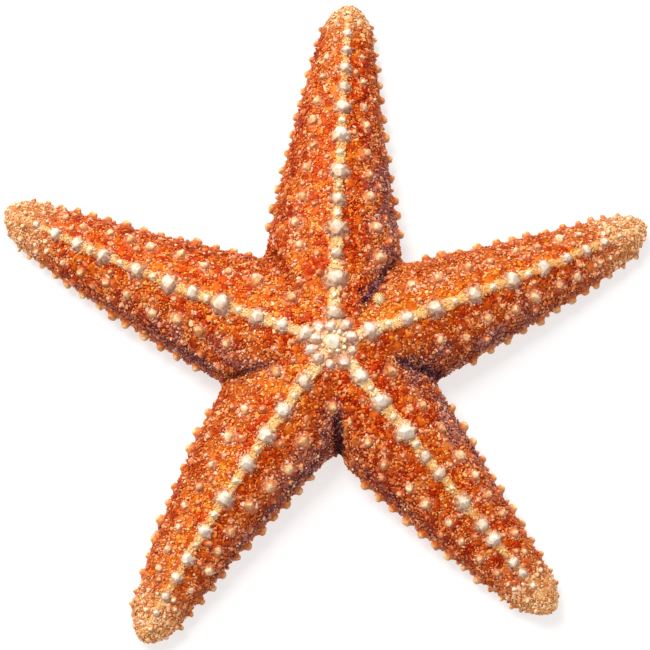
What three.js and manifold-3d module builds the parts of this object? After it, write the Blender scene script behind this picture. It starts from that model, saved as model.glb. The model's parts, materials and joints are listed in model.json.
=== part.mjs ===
// A common starfish at rest on its underside: a disc with five tapering arms, rows of blunt
// tubercles on its back, and an open groove under each arm that runs in to the mouth.
// Millimetres, +Z up, the first arm along +Y. The origin is under the middle of the whole animal.

import * as THREE from 'three';
import { mergeVertices } from 'three/addons/utils/BufferGeometryUtils.js';
import Module from 'manifold-3d';

const wasm = await Module();
wasm.setup();

// ---- Driving dimensions ----

// Each arm: its direction in degrees, its length from the middle of the disc, how far its middle line
// and then its crest bend to the left half-way out, its stoutness, and the main tubercles on its
// crest, each with its place, in millimetres from the middle of the disc, and its width.
const ARMS = [
  {
    azimuth: 87.3, length: 92.3, bow: 1.4, crest: -0.9, girth: 1.09,
    carinal: [[7.5, 4], [16.3, 5.2], [22.8, 3.3], [29.4, 4.8], [37, 3.8], [44.6, 4.5], [54.5, 4.3],
      [62.1, 3.8], [67.7, 3], [72.9, 3.3], [78, 2.8], [82.9, 2.3]],
  },
  {
    azimuth: 22.7, length: 86.1, bow: -1.1, crest: -0.6, girth: 0.98,
    carinal: [[9.5, 4.3], [19.1, 3.5], [26.6, 4.3], [36.9, 4], [47.4, 4], [56, 3.5], [62.5, 2.5],
      [68, 2.8], [73.3, 2.3], [77.6, 1.6]],
  },
  {
    azimuth: -50.2, length: 84.3, bow: -1.1, crest: 0.5, girth: 0.98,
    carinal: [[10.6, 3.8], [18.6, 4.3], [28.2, 4.8], [35.7, 3], [41, 3.3], [50, 4], [57, 3.5],
      [61.4, 3.5], [68.5, 3], [72, 2.5], [76, 1.8]],
  },
  {
    azimuth: -123, length: 85.8, bow: -3.1, crest: 1.7, girth: 1.02,
    carinal: [[11.9, 3.8], [20.5, 4], [27.9, 4.3], [36.1, 4], [46.1, 4.3], [55.3, 3.3], [63, 3.3],
      [68.2, 3], [73.4, 2.5], [77.9, 2]],
  },
  {
    azimuth: 156, length: 91, bow: 1.7, crest: 0.5, girth: 1.05,
    carinal: [[7.1, 4], [13.2, 3.3], [19.8, 4], [29.2, 4.8], [36.9, 3.5], [43.4, 4.5], [52.3, 4],
      [61.6, 3.8], [69.2, 3.3], [75.5, 3], [81.1, 2.3]],
  },
];

const ARM_HALF_WIDTH = { root: 20.25, fall: 15 }; // less by the fall over the arm's length
const ARM_HEIGHT = { root: 16.5, fall: 3.5, late_fall: 7 };
const TIP_ROUNDING = 8.5; // the stretch over which the tip closes
const TIP_CORE = 0.4; // the share of the arm's height at which the tip closes
const TIP_LIFT = { height: 1.4, stretch: 11 }; // the end of the arm turns up a little
const STATIONS = [0, 0.25, 0.45, 0.65, 0.83, 0.92, 0.965, 0.99];

// Half of an arm's cross-section, from the flat it rests on up to the crest, as shares of its
// half-width and height.
const SECTION = [
  [0.7, 0], [0.93, 0.1], [1, 0.27], [0.93, 0.56], [0.68, 0.79], [0.3, 0.95], [0, 1],
];
const WIDEST = 2; // the place in that list where the section is widest

// The open channel under each arm, narrower and shallower by the taper at the tip, and its section
// in half-widths and depths.
const GROOVE = { half_width: 2.7, depth: 3.2, taper: 0.5, from: 3, to_tip: 5, stations: 6 };
const GROOVE_SECTION = [[-1.1, -0.3], [1.1, -0.3], [0.55, 1], [-0.55, 1]];

// The folds between the arms: where they begin and end, out from the middle of the disc, how high the
// bottom of each is there, and how far their sides lean.
const CREASE = { inner: 14, inner_floor: 14.4, outer: 27, floors: [5, 2.5, -1, 5, 5], lean: 0.26, top: 22 };

const MOUTH_RECESS = { radius: 5.6, depth: 3.4, rim: 0.7 };
const MEMBRANE = { radius: 5.2, low: 1, top: 3.05, rim: 1.9, dimple: 1.3, dimple_radius: 2, bevel: 0.5 };
const MADREPORITE = { azimuth: 45.3, distance: 16, radius: 1.6, rise: 0.75, root: 1.4 };
const EYESPOT = { radius: 0.7, from_tip: 1.5, height: 2.1 };

const DISC_APOTHEM = 27; // the disc ends in a straight cut across the root of each arm
const TIP_CUT = 8; // the pale end of each arm
const GAP = 0.3; // between neighbouring pieces

// The rows of tubercles. Widths shrink and places draw together towards the tip of the arm. A rise is
// a share of the width.
const CARINAL = { rise: 0.42, sides: 5, blunt_over: 3.2 };
const LATERAL = { share: 0.57, spread: 0.08, first: 22, from_tip: 10, pitch: 8.2, pitch_fall: 3.2 };
const LATERAL_KNOB = { width: 3.2, width_fall: 1.2, rise: 0.45, sides: 4 };
const MARGINAL = { up: 0.3, slant: 0.12, first: 29, from_tip: 5, pitch: 5.9, pitch_fall: 2.4 };
const MARGINAL_KNOB = { width: 2.5, width_fall: 0.7, rise: 0.62, sides: 4 };
const DWINDLE = { least: 0.6, from: 24, to: 6 }; // how small knobs get, and how far from the tip
const RING = { width: 2.4, rise: 0.5, sides: 4 };
const RING_PLACES = [ // the direction and the distance of each knob of the ring round the disc's middle
  [132, 5.1], [97, 3.9], [55, 5.3], [16, 4.6], [-25, 4.9], [-61, 5.3], [-97, 5.3], [-132, 5.5], [-163, 5.6],
  [167, 4.4],
];
const INTERRADIAL = { distance: 15.6, turns: [-12, -4, 9, 9], width: 2.7, rise: 0.45, sides: 5 };
const BURIED = 0.7; // how deep a tubercle's root goes into the body
const SHOULDER = { width: 0.9, height: 0.4 }; // of a blunt tubercle, as shares of its own

const BLOCK = { low: -8, height: 40, reach: 150 }; // the blocks that part the animal
const ROUND = 12; // the sides of the mouth's turned pieces

// ---- Small tools ----

const { lerp, clamp, degToRad, smoothstep } = THREE.MathUtils;
const UP = new THREE.Vector3(0, 0, 1);

// The point that lies along a direction in degrees, and then to the left of it and up.
function offset(azimuth, along, left = 0, z = 0) {
  const [c, s] = [Math.cos(degToRad(azimuth)), Math.sin(degToRad(azimuth))];
  return new THREE.Vector3(along * c - left * s, along * s + left * c, z);
}

// A repeatable number from 0 to 1 for a pair of counts, so that no two tubercles are alike.
function scatter(a, b) {
  const x = Math.sin(a * 12.9898 + b * 78.233) * 43758.5453;
  return x - Math.floor(x);
}

// A factor that differs from 1 by at most the given share.
const vary = (share, a, b) => 1 + share * (2 * scatter(a, b) - 1);

function solidFrom(geometry) {
  const bare = geometry.clone();
  bare.deleteAttribute('normal');
  bare.deleteAttribute('uv');
  const merged = mergeVertices(bare, 1e-4);
  const corners = merged.index.array;
  const faces = [];
  for (let i = 0; i < corners.length; i += 3) {
    const [a, b, c] = [corners[i], corners[i + 1], corners[i + 2]];
    if (a !== b && b !== c && c !== a) faces.push(a, b, c);
  }
  return new wasm.Manifold(new wasm.Mesh({
    numProp: 3,
    vertProperties: new Float32Array(merged.attributes.position.array),
    triVerts: new Uint32Array(faces),
  }));
}

function geometryFrom(solid) {
  const { vertProperties, triVerts } = solid.getMesh();
  const geometry = new THREE.BufferGeometry();
  geometry.setAttribute('position', new THREE.BufferAttribute(new Float32Array(vertProperties), 3));
  geometry.setIndex(new THREE.BufferAttribute(new Uint32Array(triVerts), 1));
  geometry.computeVertexNormals();
  return geometry;
}

const joined = (solids) => solids.reduce((whole, piece) => whole.add(piece));

// A closed skin over rings that all have the same number of points and run anticlockwise when seen
// from the last ring, closed at its ends by the points first and last.
function loft(rings, first, last) {
  const size = rings[0].length;
  const points = [...rings.flat(), first, last];
  const faces = [];
  const [start, end] = [points.length - 2, points.length - 1];
  for (let j = 0; j < size; j += 1) {
    const next = (j + 1) % size;
    faces.push(start, next, j);
    for (let i = 0; i + 1 < rings.length; i += 1) {
      const [here, above] = [i * size, (i + 1) * size];
      faces.push(here + j, here + next, above + next, here + j, above + next, above + j);
    }
    const top = (rings.length - 1) * size;
    faces.push(end, top + j, top + next);
  }
  const geometry = new THREE.BufferGeometry().setFromPoints(points);
  geometry.setIndex(faces);
  return solidFrom(geometry);
}

// A turned solid whose profile lists [radius, height] upwards along +Z, starting and ending on the axis.
function turned(profile, sides) {
  const points = profile.map(([radius, height]) => new THREE.Vector2(radius, height));
  return new THREE.LatheGeometry(points, sides).rotateX(Math.PI / 2);
}

// A solid made upright over the origin, moved to stand at foot along axis.
function standing(geometry, foot = new THREE.Vector3(), axis = UP, spin = 0) {
  const turn = new THREE.Quaternion().setFromUnitVectors(UP, axis);
  return solidFrom(geometry.rotateZ(spin).applyQuaternion(turn).translate(foot.x, foot.y, foot.z));
}

// ---- The arm's own shape ----

const halfWidth = (arm, f) => arm.girth * (ARM_HALF_WIDTH.root - ARM_HALF_WIDTH.fall * f);
const armHeight = (f) => ARM_HEIGHT.root - ARM_HEIGHT.fall * f - ARM_HEIGHT.late_fall * f * f;

// How much of its full section an arm still has at s millimetres out: 1 up to the rounding of the tip.
function fullness(arm, s) {
  const x = clamp(1 - (arm.length - s) / TIP_ROUNDING, 0, 1);
  return Math.sqrt(1 - x * x);
}

const lift = (arm, s) => TIP_LIFT.height * Math.max(0, 1 - (arm.length - s) / TIP_LIFT.stretch) ** 2;

// The share of its bends that an arm has at a share of its length, the most half-way.
const bend = (f) => 4 * f * (1 - f);

// The point s millimetres along an arm, t to its left and z up, with its middle line and crest bent.
function armPoint(arm, s, t, z) {
  const f = s / arm.length;
  const up = Math.max(0, z / armHeight(f)) ** 1.5;
  return offset(arm.azimuth, s, t + bend(f) * (arm.bow + arm.crest * up), z);
}

// The point of an arm's skin at s whose section shares are across (left is positive) and up.
function skinPoint(arm, s, across, up) {
  const f = s / arm.length;
  const full = fullness(arm, s);
  const height = armHeight(f);
  const z = lift(arm, s) + height * (TIP_CORE + (up - TIP_CORE) * full);
  return armPoint(arm, s, across * halfWidth(arm, f) * full, z);
}

function armRing(arm, s) {
  const left = SECTION.map(([across, up]) => skinPoint(arm, s, across, up));
  const right = SECTION.slice(0, -1).reverse().map(([across, up]) => skinPoint(arm, s, -across, up));
  return [...left, ...right];
}

// The share of its height that an arm's back has at a share of its half-width.
function backShare(across) {
  const x = Math.abs(across);
  const upper = SECTION.slice(WIDEST);
  const i = Math.max(1, upper.findIndex(([share]) => share <= x));
  const [[x0, z0], [x1, z1]] = [upper[i - 1], upper[i]];
  return lerp(z0, z1, clamp((x0 - x) / (x0 - x1), 0, 1));
}

const onBack = (arm, s, across) => skinPoint(arm, s, across, backShare(across));

// The way straight out of an arm's back at s and a share of its half-width.
function outward(arm, s, across) {
  const [step, side_step] = [0.5, 0.04];
  const along = onBack(arm, s + step, across).sub(onBack(arm, s - step, across));
  const over = onBack(arm, s, across + side_step).sub(onBack(arm, s, across - side_step));
  return along.cross(over).normalize();
}

function armBody(arm) {
  const rings = STATIONS.map((f) => armRing(arm, f * arm.length));
  return loft(rings, skinPoint(arm, 0, 0, TIP_CORE), skinPoint(arm, arm.length, 0, TIP_CORE));
}

// ---- The disc, where the arms run together ----

// How high the animal's back is at a place on the disc: as high as the highest arm there.
function discHeight(x, y) {
  return Math.max(...ARMS.map((arm) => {
    const along = offset(arm.azimuth, 1);
    const s = x * along.x + y * along.y;
    const f = s / arm.length;
    const t = y * along.x - x * along.y - bend(f) * arm.bow;
    const across = Math.abs(t) / halfWidth(arm, f);
    return s >= 0 && across < 1 ? armHeight(f) * backShare(across) : 0;
  }));
}

function onDisc(azimuth, distance) {
  const { x, y } = offset(azimuth, distance);
  return new THREE.Vector3(x, y, discHeight(x, y));
}

function outOfDisc({ x, y }) {
  const slope_x = (discHeight(x + 1, y) - discHeight(x - 1, y)) / 2;
  const slope_y = (discHeight(x, y + 1) - discHeight(x, y - 1)) / 2;
  return new THREE.Vector3(-slope_x, -slope_y, 1).normalize();
}

// ---- Tubercles ----

// A knob with flat sides, rooted in the body at foot and standing along axis: blunt with a shoulder,
// or pointed.
function tubercle(foot, axis, { width, rise, sides }, spin, blunt = false) {
  const [half, height] = [width / 2, width * rise];
  const root = half * (1 + BURIED / height);
  const profile = blunt
    ? [[0, -BURIED], [half, -BURIED], [half * SHOULDER.width, height * SHOULDER.height], [0, height]]
    : [[0, -BURIED], [root, -BURIED], [0, height]];
  return standing(turned(profile, sides), foot, axis, spin);
}

// The kind of knob that a row has at a share of the arm's length, made larger or smaller by a factor.
const knobAt = (kind, f, factor) => ({ ...kind, width: (kind.width - kind.width_fall * f) * factor });

// How much smaller the knobs of the sides and edges are near the tip.
function dwindle(arm, s) {
  const { least, from, to } = DWINDLE;
  return least + (1 - least) * smoothstep(arm.length - s, to, from);
}

// The tubercles along an arm's crest.
function carinalRow(arm, n) {
  return arm.carinal.map(([s, width], i) => {
    const spin = scatter(i, n);
    const blunt = width > CARINAL.blunt_over;
    return tubercle(onBack(arm, s, 0), outward(arm, s, 0), { ...CARINAL, width }, spin, blunt);
  });
}

// The places along a side of an arm where a row has its tubercles, closer together further out.
function* rowStops(arm, row, seed) {
  let s = row.first + 0.5 * row.pitch * scatter(seed, 1);
  for (let i = 0; s < arm.length - row.from_tip; i += 1) {
    yield [s, i];
    s += (row.pitch - row.pitch_fall * (s / arm.length)) * vary(0.18, seed, i + 2);
  }
}

function lateralRow(arm, n, side) {
  return [...rowStops(arm, LATERAL, 2 * n + side)].map(([s, i]) => {
    const across = side * (LATERAL.share + LATERAL.spread * (2 * scatter(i, n + side) - 1));
    const knob = knobAt(LATERAL_KNOB, s / arm.length, vary(0.2, i, 3 * n + side) * dwindle(arm, s));
    return tubercle(onBack(arm, s, across), outward(arm, s, across), knob, i);
  });
}

function marginalRow(arm, n, side) {
  const sideways = offset(arm.azimuth, 0, side, MARGINAL.slant).normalize();
  return [...rowStops(arm, MARGINAL, 20 + 2 * n + side)].map(([s, i]) => {
    const knob = knobAt(MARGINAL_KNOB, s / arm.length, vary(0.15, i, n - side) * dwindle(arm, s));
    return tubercle(skinPoint(arm, s, side, MARGINAL.up), sideways, knob, i);
  });
}

function discTubercles() {
  const ring = RING_PLACES.map(([azimuth, distance], i) => {
    const foot = onDisc(azimuth, distance);
    return tubercle(foot, outOfDisc(foot), RING, i);
  });
  const between = INTERRADIAL.turns.map((turn, i) => {
    const foot = onDisc(bisector(i + 1) + turn, INTERRADIAL.distance);
    return tubercle(foot, outOfDisc(foot), INTERRADIAL, i);
  });
  return [...ring, ...between];
}

// ---- Openings and creases ----

// The direction half-way between arm i and the arm that follows it clockwise.
function bisector(i) {
  const next = ARMS[(i + 1) % ARMS.length].azimuth;
  const turn = (ARMS[i].azimuth - next + 720) % 360;
  return ARMS[i].azimuth - turn / 2;
}

// The open channel along the underside of an arm, where its tube feet are.
function groove(arm) {
  const end = arm.length - GROOVE.to_tip;
  const rings = Array.from({ length: GROOVE.stations }, (_, i) => {
    const s = lerp(GROOVE.from, end, i / (GROOVE.stations - 1));
    const size = 1 - GROOVE.taper * (s / end) ** 2;
    return GROOVE_SECTION.map(([across, up]) => {
      return armPoint(arm, s, across * GROOVE.half_width * size, up * GROOVE.depth * size + lift(arm, s));
    });
  });
  const middle = (s) => armPoint(arm, s, 0, lift(arm, s));
  return loft(rings, middle(GROOVE.from), middle(end));
}

// The narrow fold in the back between arm i and the next one, which runs down to its floor at the edge
// of the disc.
function crease(i) {
  const { inner, inner_floor, outer, floors, lean, top } = CREASE;
  const ends = [[inner, inner_floor], [outer, floors[i]], [1.3 * outer, floors[i]]];
  const rings = ends.map(([r, floor]) => {
    const half = lean * (top - floor);
    return [[0, floor], [half, top], [-half, top]].map(([left, z]) => offset(bisector(i), r, left, z));
  });
  const middle = ([r, floor]) => offset(bisector(i), r, 0, (floor + top) / 2);
  return loft(rings, middle(ends[0]), middle(ends[2]));
}

function mouthRecess() {
  const { radius, depth, rim } = MOUTH_RECESS;
  const profile = [[0, -rim], [radius + rim, -rim], [radius, rim], [radius, depth - rim],
    [radius - rim, depth], [0, depth]];
  return standing(turned(profile, ROUND));
}

// ---- Separate small pieces ----

function membrane() {
  const { radius, low, top, rim, dimple, dimple_radius, bevel } = MEMBRANE;
  const profile = [[0, low + dimple], [dimple_radius, low], [radius - 2 * bevel, low], [radius, rim],
    [radius, top - bevel], [radius - bevel, top], [0, top]];
  return standing(turned(profile, ROUND));
}

// The sieve plate, a round button set in the back between two arms, with room around it if asked.
function madreporite(room) {
  const { radius, rise, root, azimuth, distance } = MADREPORITE;
  const foot = onDisc(azimuth, distance);
  const [wide, low] = [radius + room, -root - room];
  const profile = room > 0
    ? [[0, low], [wide, low], [wide, 4 * rise], [0, 4 * rise]]
    : [[0, low], [wide, low], [wide, rise * 0.45], [wide * 0.62, rise], [0, rise * 0.9]];
  return standing(turned(profile, 10), foot, outOfDisc(foot));
}

// The red spot under the end of an arm, with room around it if asked.
function eyespot(arm, room) {
  const s = arm.length - EYESPOT.from_tip;
  const ball = new THREE.SphereGeometry(EYESPOT.radius + room, 6, 3);
  return standing(ball, armPoint(arm, s, 0, EYESPOT.height));
}

// ---- Parting ----

// An upright block over an outline of points on the floor, taller than the animal.
function block(outline) {
  const shape = new THREE.Shape(outline.map(({ x, y }) => new THREE.Vector2(x, y)));
  const geometry = new THREE.ExtrudeGeometry(shape, { depth: BLOCK.height, bevelEnabled: false });
  return solidFrom(geometry.translate(0, 0, BLOCK.low));
}

// The block that the disc fills, with a straight side across the root of each arm.
function discBlock(apothem) {
  return block(ARMS.map((arm, i) => {
    return offset(bisector(i), apothem / Math.cos(degToRad(arm.azimuth - bisector(i))));
  }));
}

// The block between the bisectors on either side of arm i.
function sectorBlock(i) {
  const sides = [bisector(i), ARMS[i].azimuth, bisector((i + ARMS.length - 1) % ARMS.length)];
  return block([new THREE.Vector3(), ...sides.map((azimuth) => offset(azimuth, BLOCK.reach))]);
}

// The block that holds everything more than s millimetres out along an arm.
function beyond(arm, s) {
  const corners = [[s, -1], [BLOCK.reach, -1], [BLOCK.reach, 1], [s, 1]];
  return block(corners.map(([along, side]) => offset(arm.azimuth, along, side * ARM_HALF_WIDTH.root)));
}

// ---- The whole animal, cut into its parts ----

const body = joined([
  ...ARMS.map((arm, n) => joined([
    armBody(arm), ...carinalRow(arm, n),
    ...[1, -1].flatMap((side) => [...lateralRow(arm, n, side), ...marginalRow(arm, n, side)]),
  ])),
  ...discTubercles(),
]);
const hollows = joined([
  mouthRecess(), madreporite(GAP), ...ARMS.map(groove), ...ARMS.map((arm) => eyespot(arm, GAP)),
  ...ARMS.map((_, i) => crease(i)),
]);
const whole = body.subtract(hollows);
const limbs = whole.subtract(discBlock(DISC_APOTHEM + GAP));

const starfish = new THREE.Group();

function addPart(name, solid, color, roughness) {
  const material = new THREE.MeshStandardMaterial({ color, roughness, metalness: 0 });
  const mesh = new THREE.Mesh(geometryFrom(solid), material);
  mesh.name = name;
  starfish.add(mesh);
}

addPart('disc', whole.intersect(discBlock(DISC_APOTHEM)), 0xcf5a2a, 0.75);
ARMS.forEach((arm, i) => {
  const limb = limbs.intersect(sectorBlock(i));
  const cut = arm.length - TIP_CUT;
  addPart(`arm_${i + 1}`, limb.subtract(beyond(arm, cut - GAP / 2)), 0xd0602f, 0.75);
  addPart(`arm_tip_${i + 1}`, limb.intersect(beyond(arm, cut + GAP / 2)), 0xd2a679, 0.75);
  addPart(`eyespot_${i + 1}`, eyespot(arm, 0), 0x9c1f1a, 0.4);
});
addPart('madreporite', madreporite(0), 0xe8dcc4, 0.65);
addPart('mouth', membrane(), 0xd9b48c, 0.6);

const middle = new THREE.Box3().setFromObject(starfish).getCenter(new THREE.Vector3());
starfish.position.set(-middle.x, -middle.y, 0);

export default starfish;
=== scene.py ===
"""The looks of a common starfish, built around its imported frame: one skin over the disc and arms, a coat
of fine angular grains, rows of blunt tubercles, the sieve plate, and on the underside the mouth, the
tube feet in their grooves and the small spines beside them.

Shapes are worked out in millimetres from the middle of the disc, with +Y close to the first arm, and
turned into metres in the row frame when a mesh is made."""

import json
import math
from collections import namedtuple

import bpy
import numpy as np
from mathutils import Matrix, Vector, kdtree, noise
from mathutils.bvhtree import BVHTree

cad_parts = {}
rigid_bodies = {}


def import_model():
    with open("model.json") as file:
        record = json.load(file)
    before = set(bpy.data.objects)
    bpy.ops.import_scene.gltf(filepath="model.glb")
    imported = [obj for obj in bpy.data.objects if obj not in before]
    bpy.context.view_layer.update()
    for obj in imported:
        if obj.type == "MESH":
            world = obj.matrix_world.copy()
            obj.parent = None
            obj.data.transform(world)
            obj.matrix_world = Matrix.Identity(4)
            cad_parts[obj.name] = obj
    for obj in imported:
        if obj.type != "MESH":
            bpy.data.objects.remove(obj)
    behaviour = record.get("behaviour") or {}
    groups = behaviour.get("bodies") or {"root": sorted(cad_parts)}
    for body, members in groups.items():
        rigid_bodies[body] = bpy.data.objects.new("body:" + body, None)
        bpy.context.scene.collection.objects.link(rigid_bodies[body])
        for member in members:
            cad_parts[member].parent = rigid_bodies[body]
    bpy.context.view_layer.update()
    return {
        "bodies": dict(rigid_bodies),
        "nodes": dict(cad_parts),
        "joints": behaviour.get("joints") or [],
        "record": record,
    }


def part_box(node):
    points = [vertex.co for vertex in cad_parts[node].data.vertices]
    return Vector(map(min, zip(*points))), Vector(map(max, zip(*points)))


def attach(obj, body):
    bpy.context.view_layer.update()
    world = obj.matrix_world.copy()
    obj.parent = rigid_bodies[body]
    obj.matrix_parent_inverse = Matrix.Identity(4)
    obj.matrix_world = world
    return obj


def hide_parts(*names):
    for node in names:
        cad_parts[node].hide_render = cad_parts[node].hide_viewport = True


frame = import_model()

MM = 0.001
rng = np.random.default_rng(5)
noise.seed_set(5)

# ---- Driving dimensions, the same as the solids' ----

# Each arm: its direction in degrees, its length, how far its middle line and then its crest bend to
# the left half-way out, its stoutness, and the place and width of each main tubercle on its crest.
Arm = namedtuple("Arm", "azimuth length bow crest girth carinal")
ARMS = [
    Arm(87.3, 92.3, 1.4, -0.9, 1.09, [
        (7.5, 4), (16.3, 5.2), (22.8, 3.3), (29.4, 4.8), (37, 3.8), (44.6, 4.5), (54.5, 4.3),
        (62.1, 3.8), (67.7, 3), (72.9, 3.3), (78, 2.8), (82.9, 2.3)]),
    Arm(22.7, 86.1, -1.1, -0.6, 0.98, [
        (9.5, 4.3), (19.1, 3.5), (26.6, 4.3), (36.9, 4), (47.4, 4), (56, 3.5), (62.5, 2.5),
        (68, 2.8), (73.3, 2.3), (77.6, 1.6)]),
    Arm(-50.2, 84.3, -1.1, 0.5, 0.98, [
        (10.6, 3.8), (18.6, 4.3), (28.2, 4.8), (35.7, 3), (41, 3.3), (50, 4), (57, 3.5),
        (61.4, 3.5), (68.5, 3), (72, 2.5), (76, 1.8)]),
    Arm(-123, 85.8, -3.1, 1.7, 1.02, [
        (11.9, 3.8), (20.5, 4), (27.9, 4.3), (36.1, 4), (46.1, 4.3), (55.3, 3.3), (63, 3.3),
        (68.2, 3), (73.4, 2.5), (77.9, 2)]),
    Arm(156, 91, 1.7, 0.5, 1.05, [
        (7.1, 4), (13.2, 3.3), (19.8, 4), (29.2, 4.8), (36.9, 3.5), (43.4, 4.5), (52.3, 4),
        (61.6, 3.8), (69.2, 3.3), (75.5, 3), (81.1, 2.3)]),
]

HALF_WIDTH, HALF_WIDTH_FALL = 20.25, 15.0
HEIGHT, HEIGHT_FALL, LATE_HEIGHT_FALL = 16.5, 3.5, 7.0
TIP_ROUNDING, TIP_CORE = 8.5, 0.4
TIP_LIFT, LIFT_STRETCH = 1.4, 11.0
# The left half of an arm's section, from the floor up to the crest, as shares of its half-width and
# height, and which of its corners is the widest.
SECTION = [(0.7, 0), (0.93, 0.1), (1, 0.27), (0.93, 0.56), (0.68, 0.79), (0.3, 0.95), (0, 1)]
WIDEST = 2

CREASE_INNER, CREASE_INNER_FLOOR, CREASE_OUTER = 14.0, 14.4, 27.0
CREASE_FLOORS = [5, 2.5, -1, 5, 5]
CREASE_LEAN, CREASE_TOP, CREASE_REACH = 0.26, 22.0, 1.3 * CREASE_OUTER
GROOVE_HALF_WIDTH, GROOVE_DEPTH, GROOVE_TAPER = 2.7, 3.2, 0.5
GROOVE_FROM, GROOVE_TO_TIP = 3.0, 5.0
GROOVE_SECTION = [(-1.15, -0.4), (1.15, -0.4), (1.0, 0.3), (0.62, 1.0), (-0.62, 1.0), (-1.0, 0.3)]
MOUTH_RADIUS, MOUTH_DEPTH = 5.6, 3.4
MADREPORITE_AZIMUTH, MADREPORITE_DISTANCE, MADREPORITE_RADIUS = 45.3, 16.0, 1.6
EYESPOT_RADIUS, EYESPOT_FROM_TIP, EYESPOT_HEIGHT = 0.7, 1.5, 2.1

# The rows of tubercles: the first place, the distance kept from the tip, the pitch and its fall
# towards the tip, and the width of a tubercle and its fall.
Row = namedtuple("Row", "first from_tip pitch pitch_fall width width_fall")
LATERAL = Row(22, 10, 8.2, 3.2, 3.2, 1.2)
MARGINAL = Row(29, 5, 5.9, 2.4, 2.5, 0.7)
LATERAL_SHARE, LATERAL_SPREAD = 0.57, 0.08
MARGINAL_UP, MARGINAL_SLANT = 0.3, 0.12
RING = [(132, 5.1), (97, 3.9), (55, 5.3), (16, 4.6), (-25, 4.9), (-61, 5.3), (-97, 5.3), (-132, 5.5),
        (-163, 5.6), (167, 4.4)]
RING_WIDTH = 2.4
INTERRADIAL_DISTANCE, INTERRADIAL_TURNS, INTERRADIAL_WIDTH = 15.6, [-12, -4, 9, 9], 2.7

# ---- The skin's own sizes ----

COAT_DEPTH = 0.35  # how far the skin lies inside the solids
STATIONS, GROOVE_STATIONS = 72, 24
ROUNDINGS = 3  # how often the corners of the arms' section are cut
MOUTH_ROUNDING, MOUTH_SECTORS = 0.8, 40
FIRST_VOXEL, LAST_VOXEL = 0.7, 0.56
SMOOTHINGS = 3
CELL = 2.2  # across the soft swellings of the skin, which lie in a mesh of fine ridges
CELL_RELIEF, GRAIN_RELIEF = 0.3, 0.1
BARE_SHARE = 0.5  # of the cells, which grains leave open
RIDGE_RELIEF, RIDGE_WIDTH, RIDGE_WIDTH_FALL = 0.7, 1.35, 0.75
LOWEST_SKIN, LOWEST_GRAIN = 0.1, 0.02  # above the floor

# ---- The animal's markings and painted shade ----

# Painted shade: the sides that look this way, away from the key light, are painted redder and darker.
AWAY_FROM_LIGHT = np.array([0.6, -0.8, -0.1])  # the way the redder and darker sides look
# How dark the painted shade in the fold after each arm is, and where its darkest part starts and ends.
CREASE_SHADES = [(1.0, 12, 22), (1.0, 16, 30), (0.9, 14, 28), (0.6, 14, 26), (0.25, 14, 24)]
AMBER_ARMS = [0.064, 0.48, 0.096, 0.48, 0.0]  # how much more amber each arm's back has
TIP_FADES = [13, 24, 20, 21, 23]  # how far from its end each arm starts to turn pale
# How much of each arm's left and right side is peach, and how mauve it is towards the disc; the mauve lies
# on the sides turned from the light and is partly the animal's violet tint, partly painted shade.
PEACH_SIDES = [(0.45, 0.5), (0.9, 0.5), (0.35, 0.4), (0.35, 0.45), (0.5, 0.3)]
MAUVE_SIDES = [(0.0, 1.0), (0.0, 0.95), (0.9, 0.2), (0.7, 0.0), (0.7, 0.0)]
# The painted shade in the furrow above the beads of each arm's left and right edge: its place and width in
# half-widths, and how strong it is.
FURROW_PLACE, FURROW_WIDTH = 0.87, 0.09
FURROWS = [(0.6, 0.3), (0.2, 0.5), (0.5, 0.6), (0.75, 0.45), (0.65, 0.6)]


# ---- Where things are on the animal ----

def offset(azimuth, along, left=0.0, z=0.0):
    """The point that lies along a direction in degrees, and then to the left of it and up."""
    c, s = math.cos(math.radians(azimuth)), math.sin(math.radians(azimuth))
    along, left, z = np.broadcast_arrays(along, left, z)
    return np.stack([along * c - left * s, along * s + left * c, z], axis=-1).astype(float)


def out_and_left(azimuth, points):
    """How far points lie along a direction in degrees, and to the left of it."""
    return points[:, :2] @ offset(azimuth, 1.0)[:2], points[:, :2] @ offset(azimuth, 0.0, 1.0)[:2]


def scatter(a, b):
    """A repeatable number from 0 to 1 for a pair of counts."""
    x = math.sin(a * 12.9898 + b * 78.233) * 43758.5453
    return x - math.floor(x)


def vary(share, a, b):
    return 1 + share * (2 * scatter(a, b) - 1)


def smoothstep(low, high, x):
    x = np.clip((x - low) / (high - low), 0, 1)
    return x * x * (3 - 2 * x)


def half_width(arm, f):
    return arm.girth * (HALF_WIDTH - HALF_WIDTH_FALL * f)


def arm_height(f):
    return HEIGHT - HEIGHT_FALL * f - LATE_HEIGHT_FALL * f * f


def fullness(arm, s):
    """How much of its full section an arm still has at s: 1 up to the rounding of the tip."""
    x = np.clip(1 - (arm.length - s) / TIP_ROUNDING, 0, 1)
    return np.sqrt(1 - x * x)


def lift(arm, s):
    return TIP_LIFT * np.maximum(0, 1 - (arm.length - s) / LIFT_STRETCH) ** 2


def side_shift(arm, f, z):
    """How far an arm's bends carry a point at height z to the left."""
    up = np.maximum(0, z / arm_height(f)) ** 1.5
    return 4 * f * (1 - f) * (arm.bow + arm.crest * up)


def arm_point(arm, s, t, z):
    return offset(arm.azimuth, s, t + side_shift(arm, s / arm.length, z), z)


def skin_point(arm, s, across, up):
    """The point at shares of an arm's half-width and height at s."""
    f, full = s / arm.length, fullness(arm, s)
    z = lift(arm, s) + arm_height(f) * (TIP_CORE + (up - TIP_CORE) * full)
    return arm_point(arm, s, across * half_width(arm, f) * full, z)


def back_share(across):
    """The share of its height that an arm's back has at a share of its half-width."""
    shares, ups = zip(*SECTION[:WIDEST - 1:-1])
    return np.interp(np.abs(across), shares, ups)


def on_back(arm, s, across):
    return skin_point(arm, s, across, back_share(across))


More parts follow.
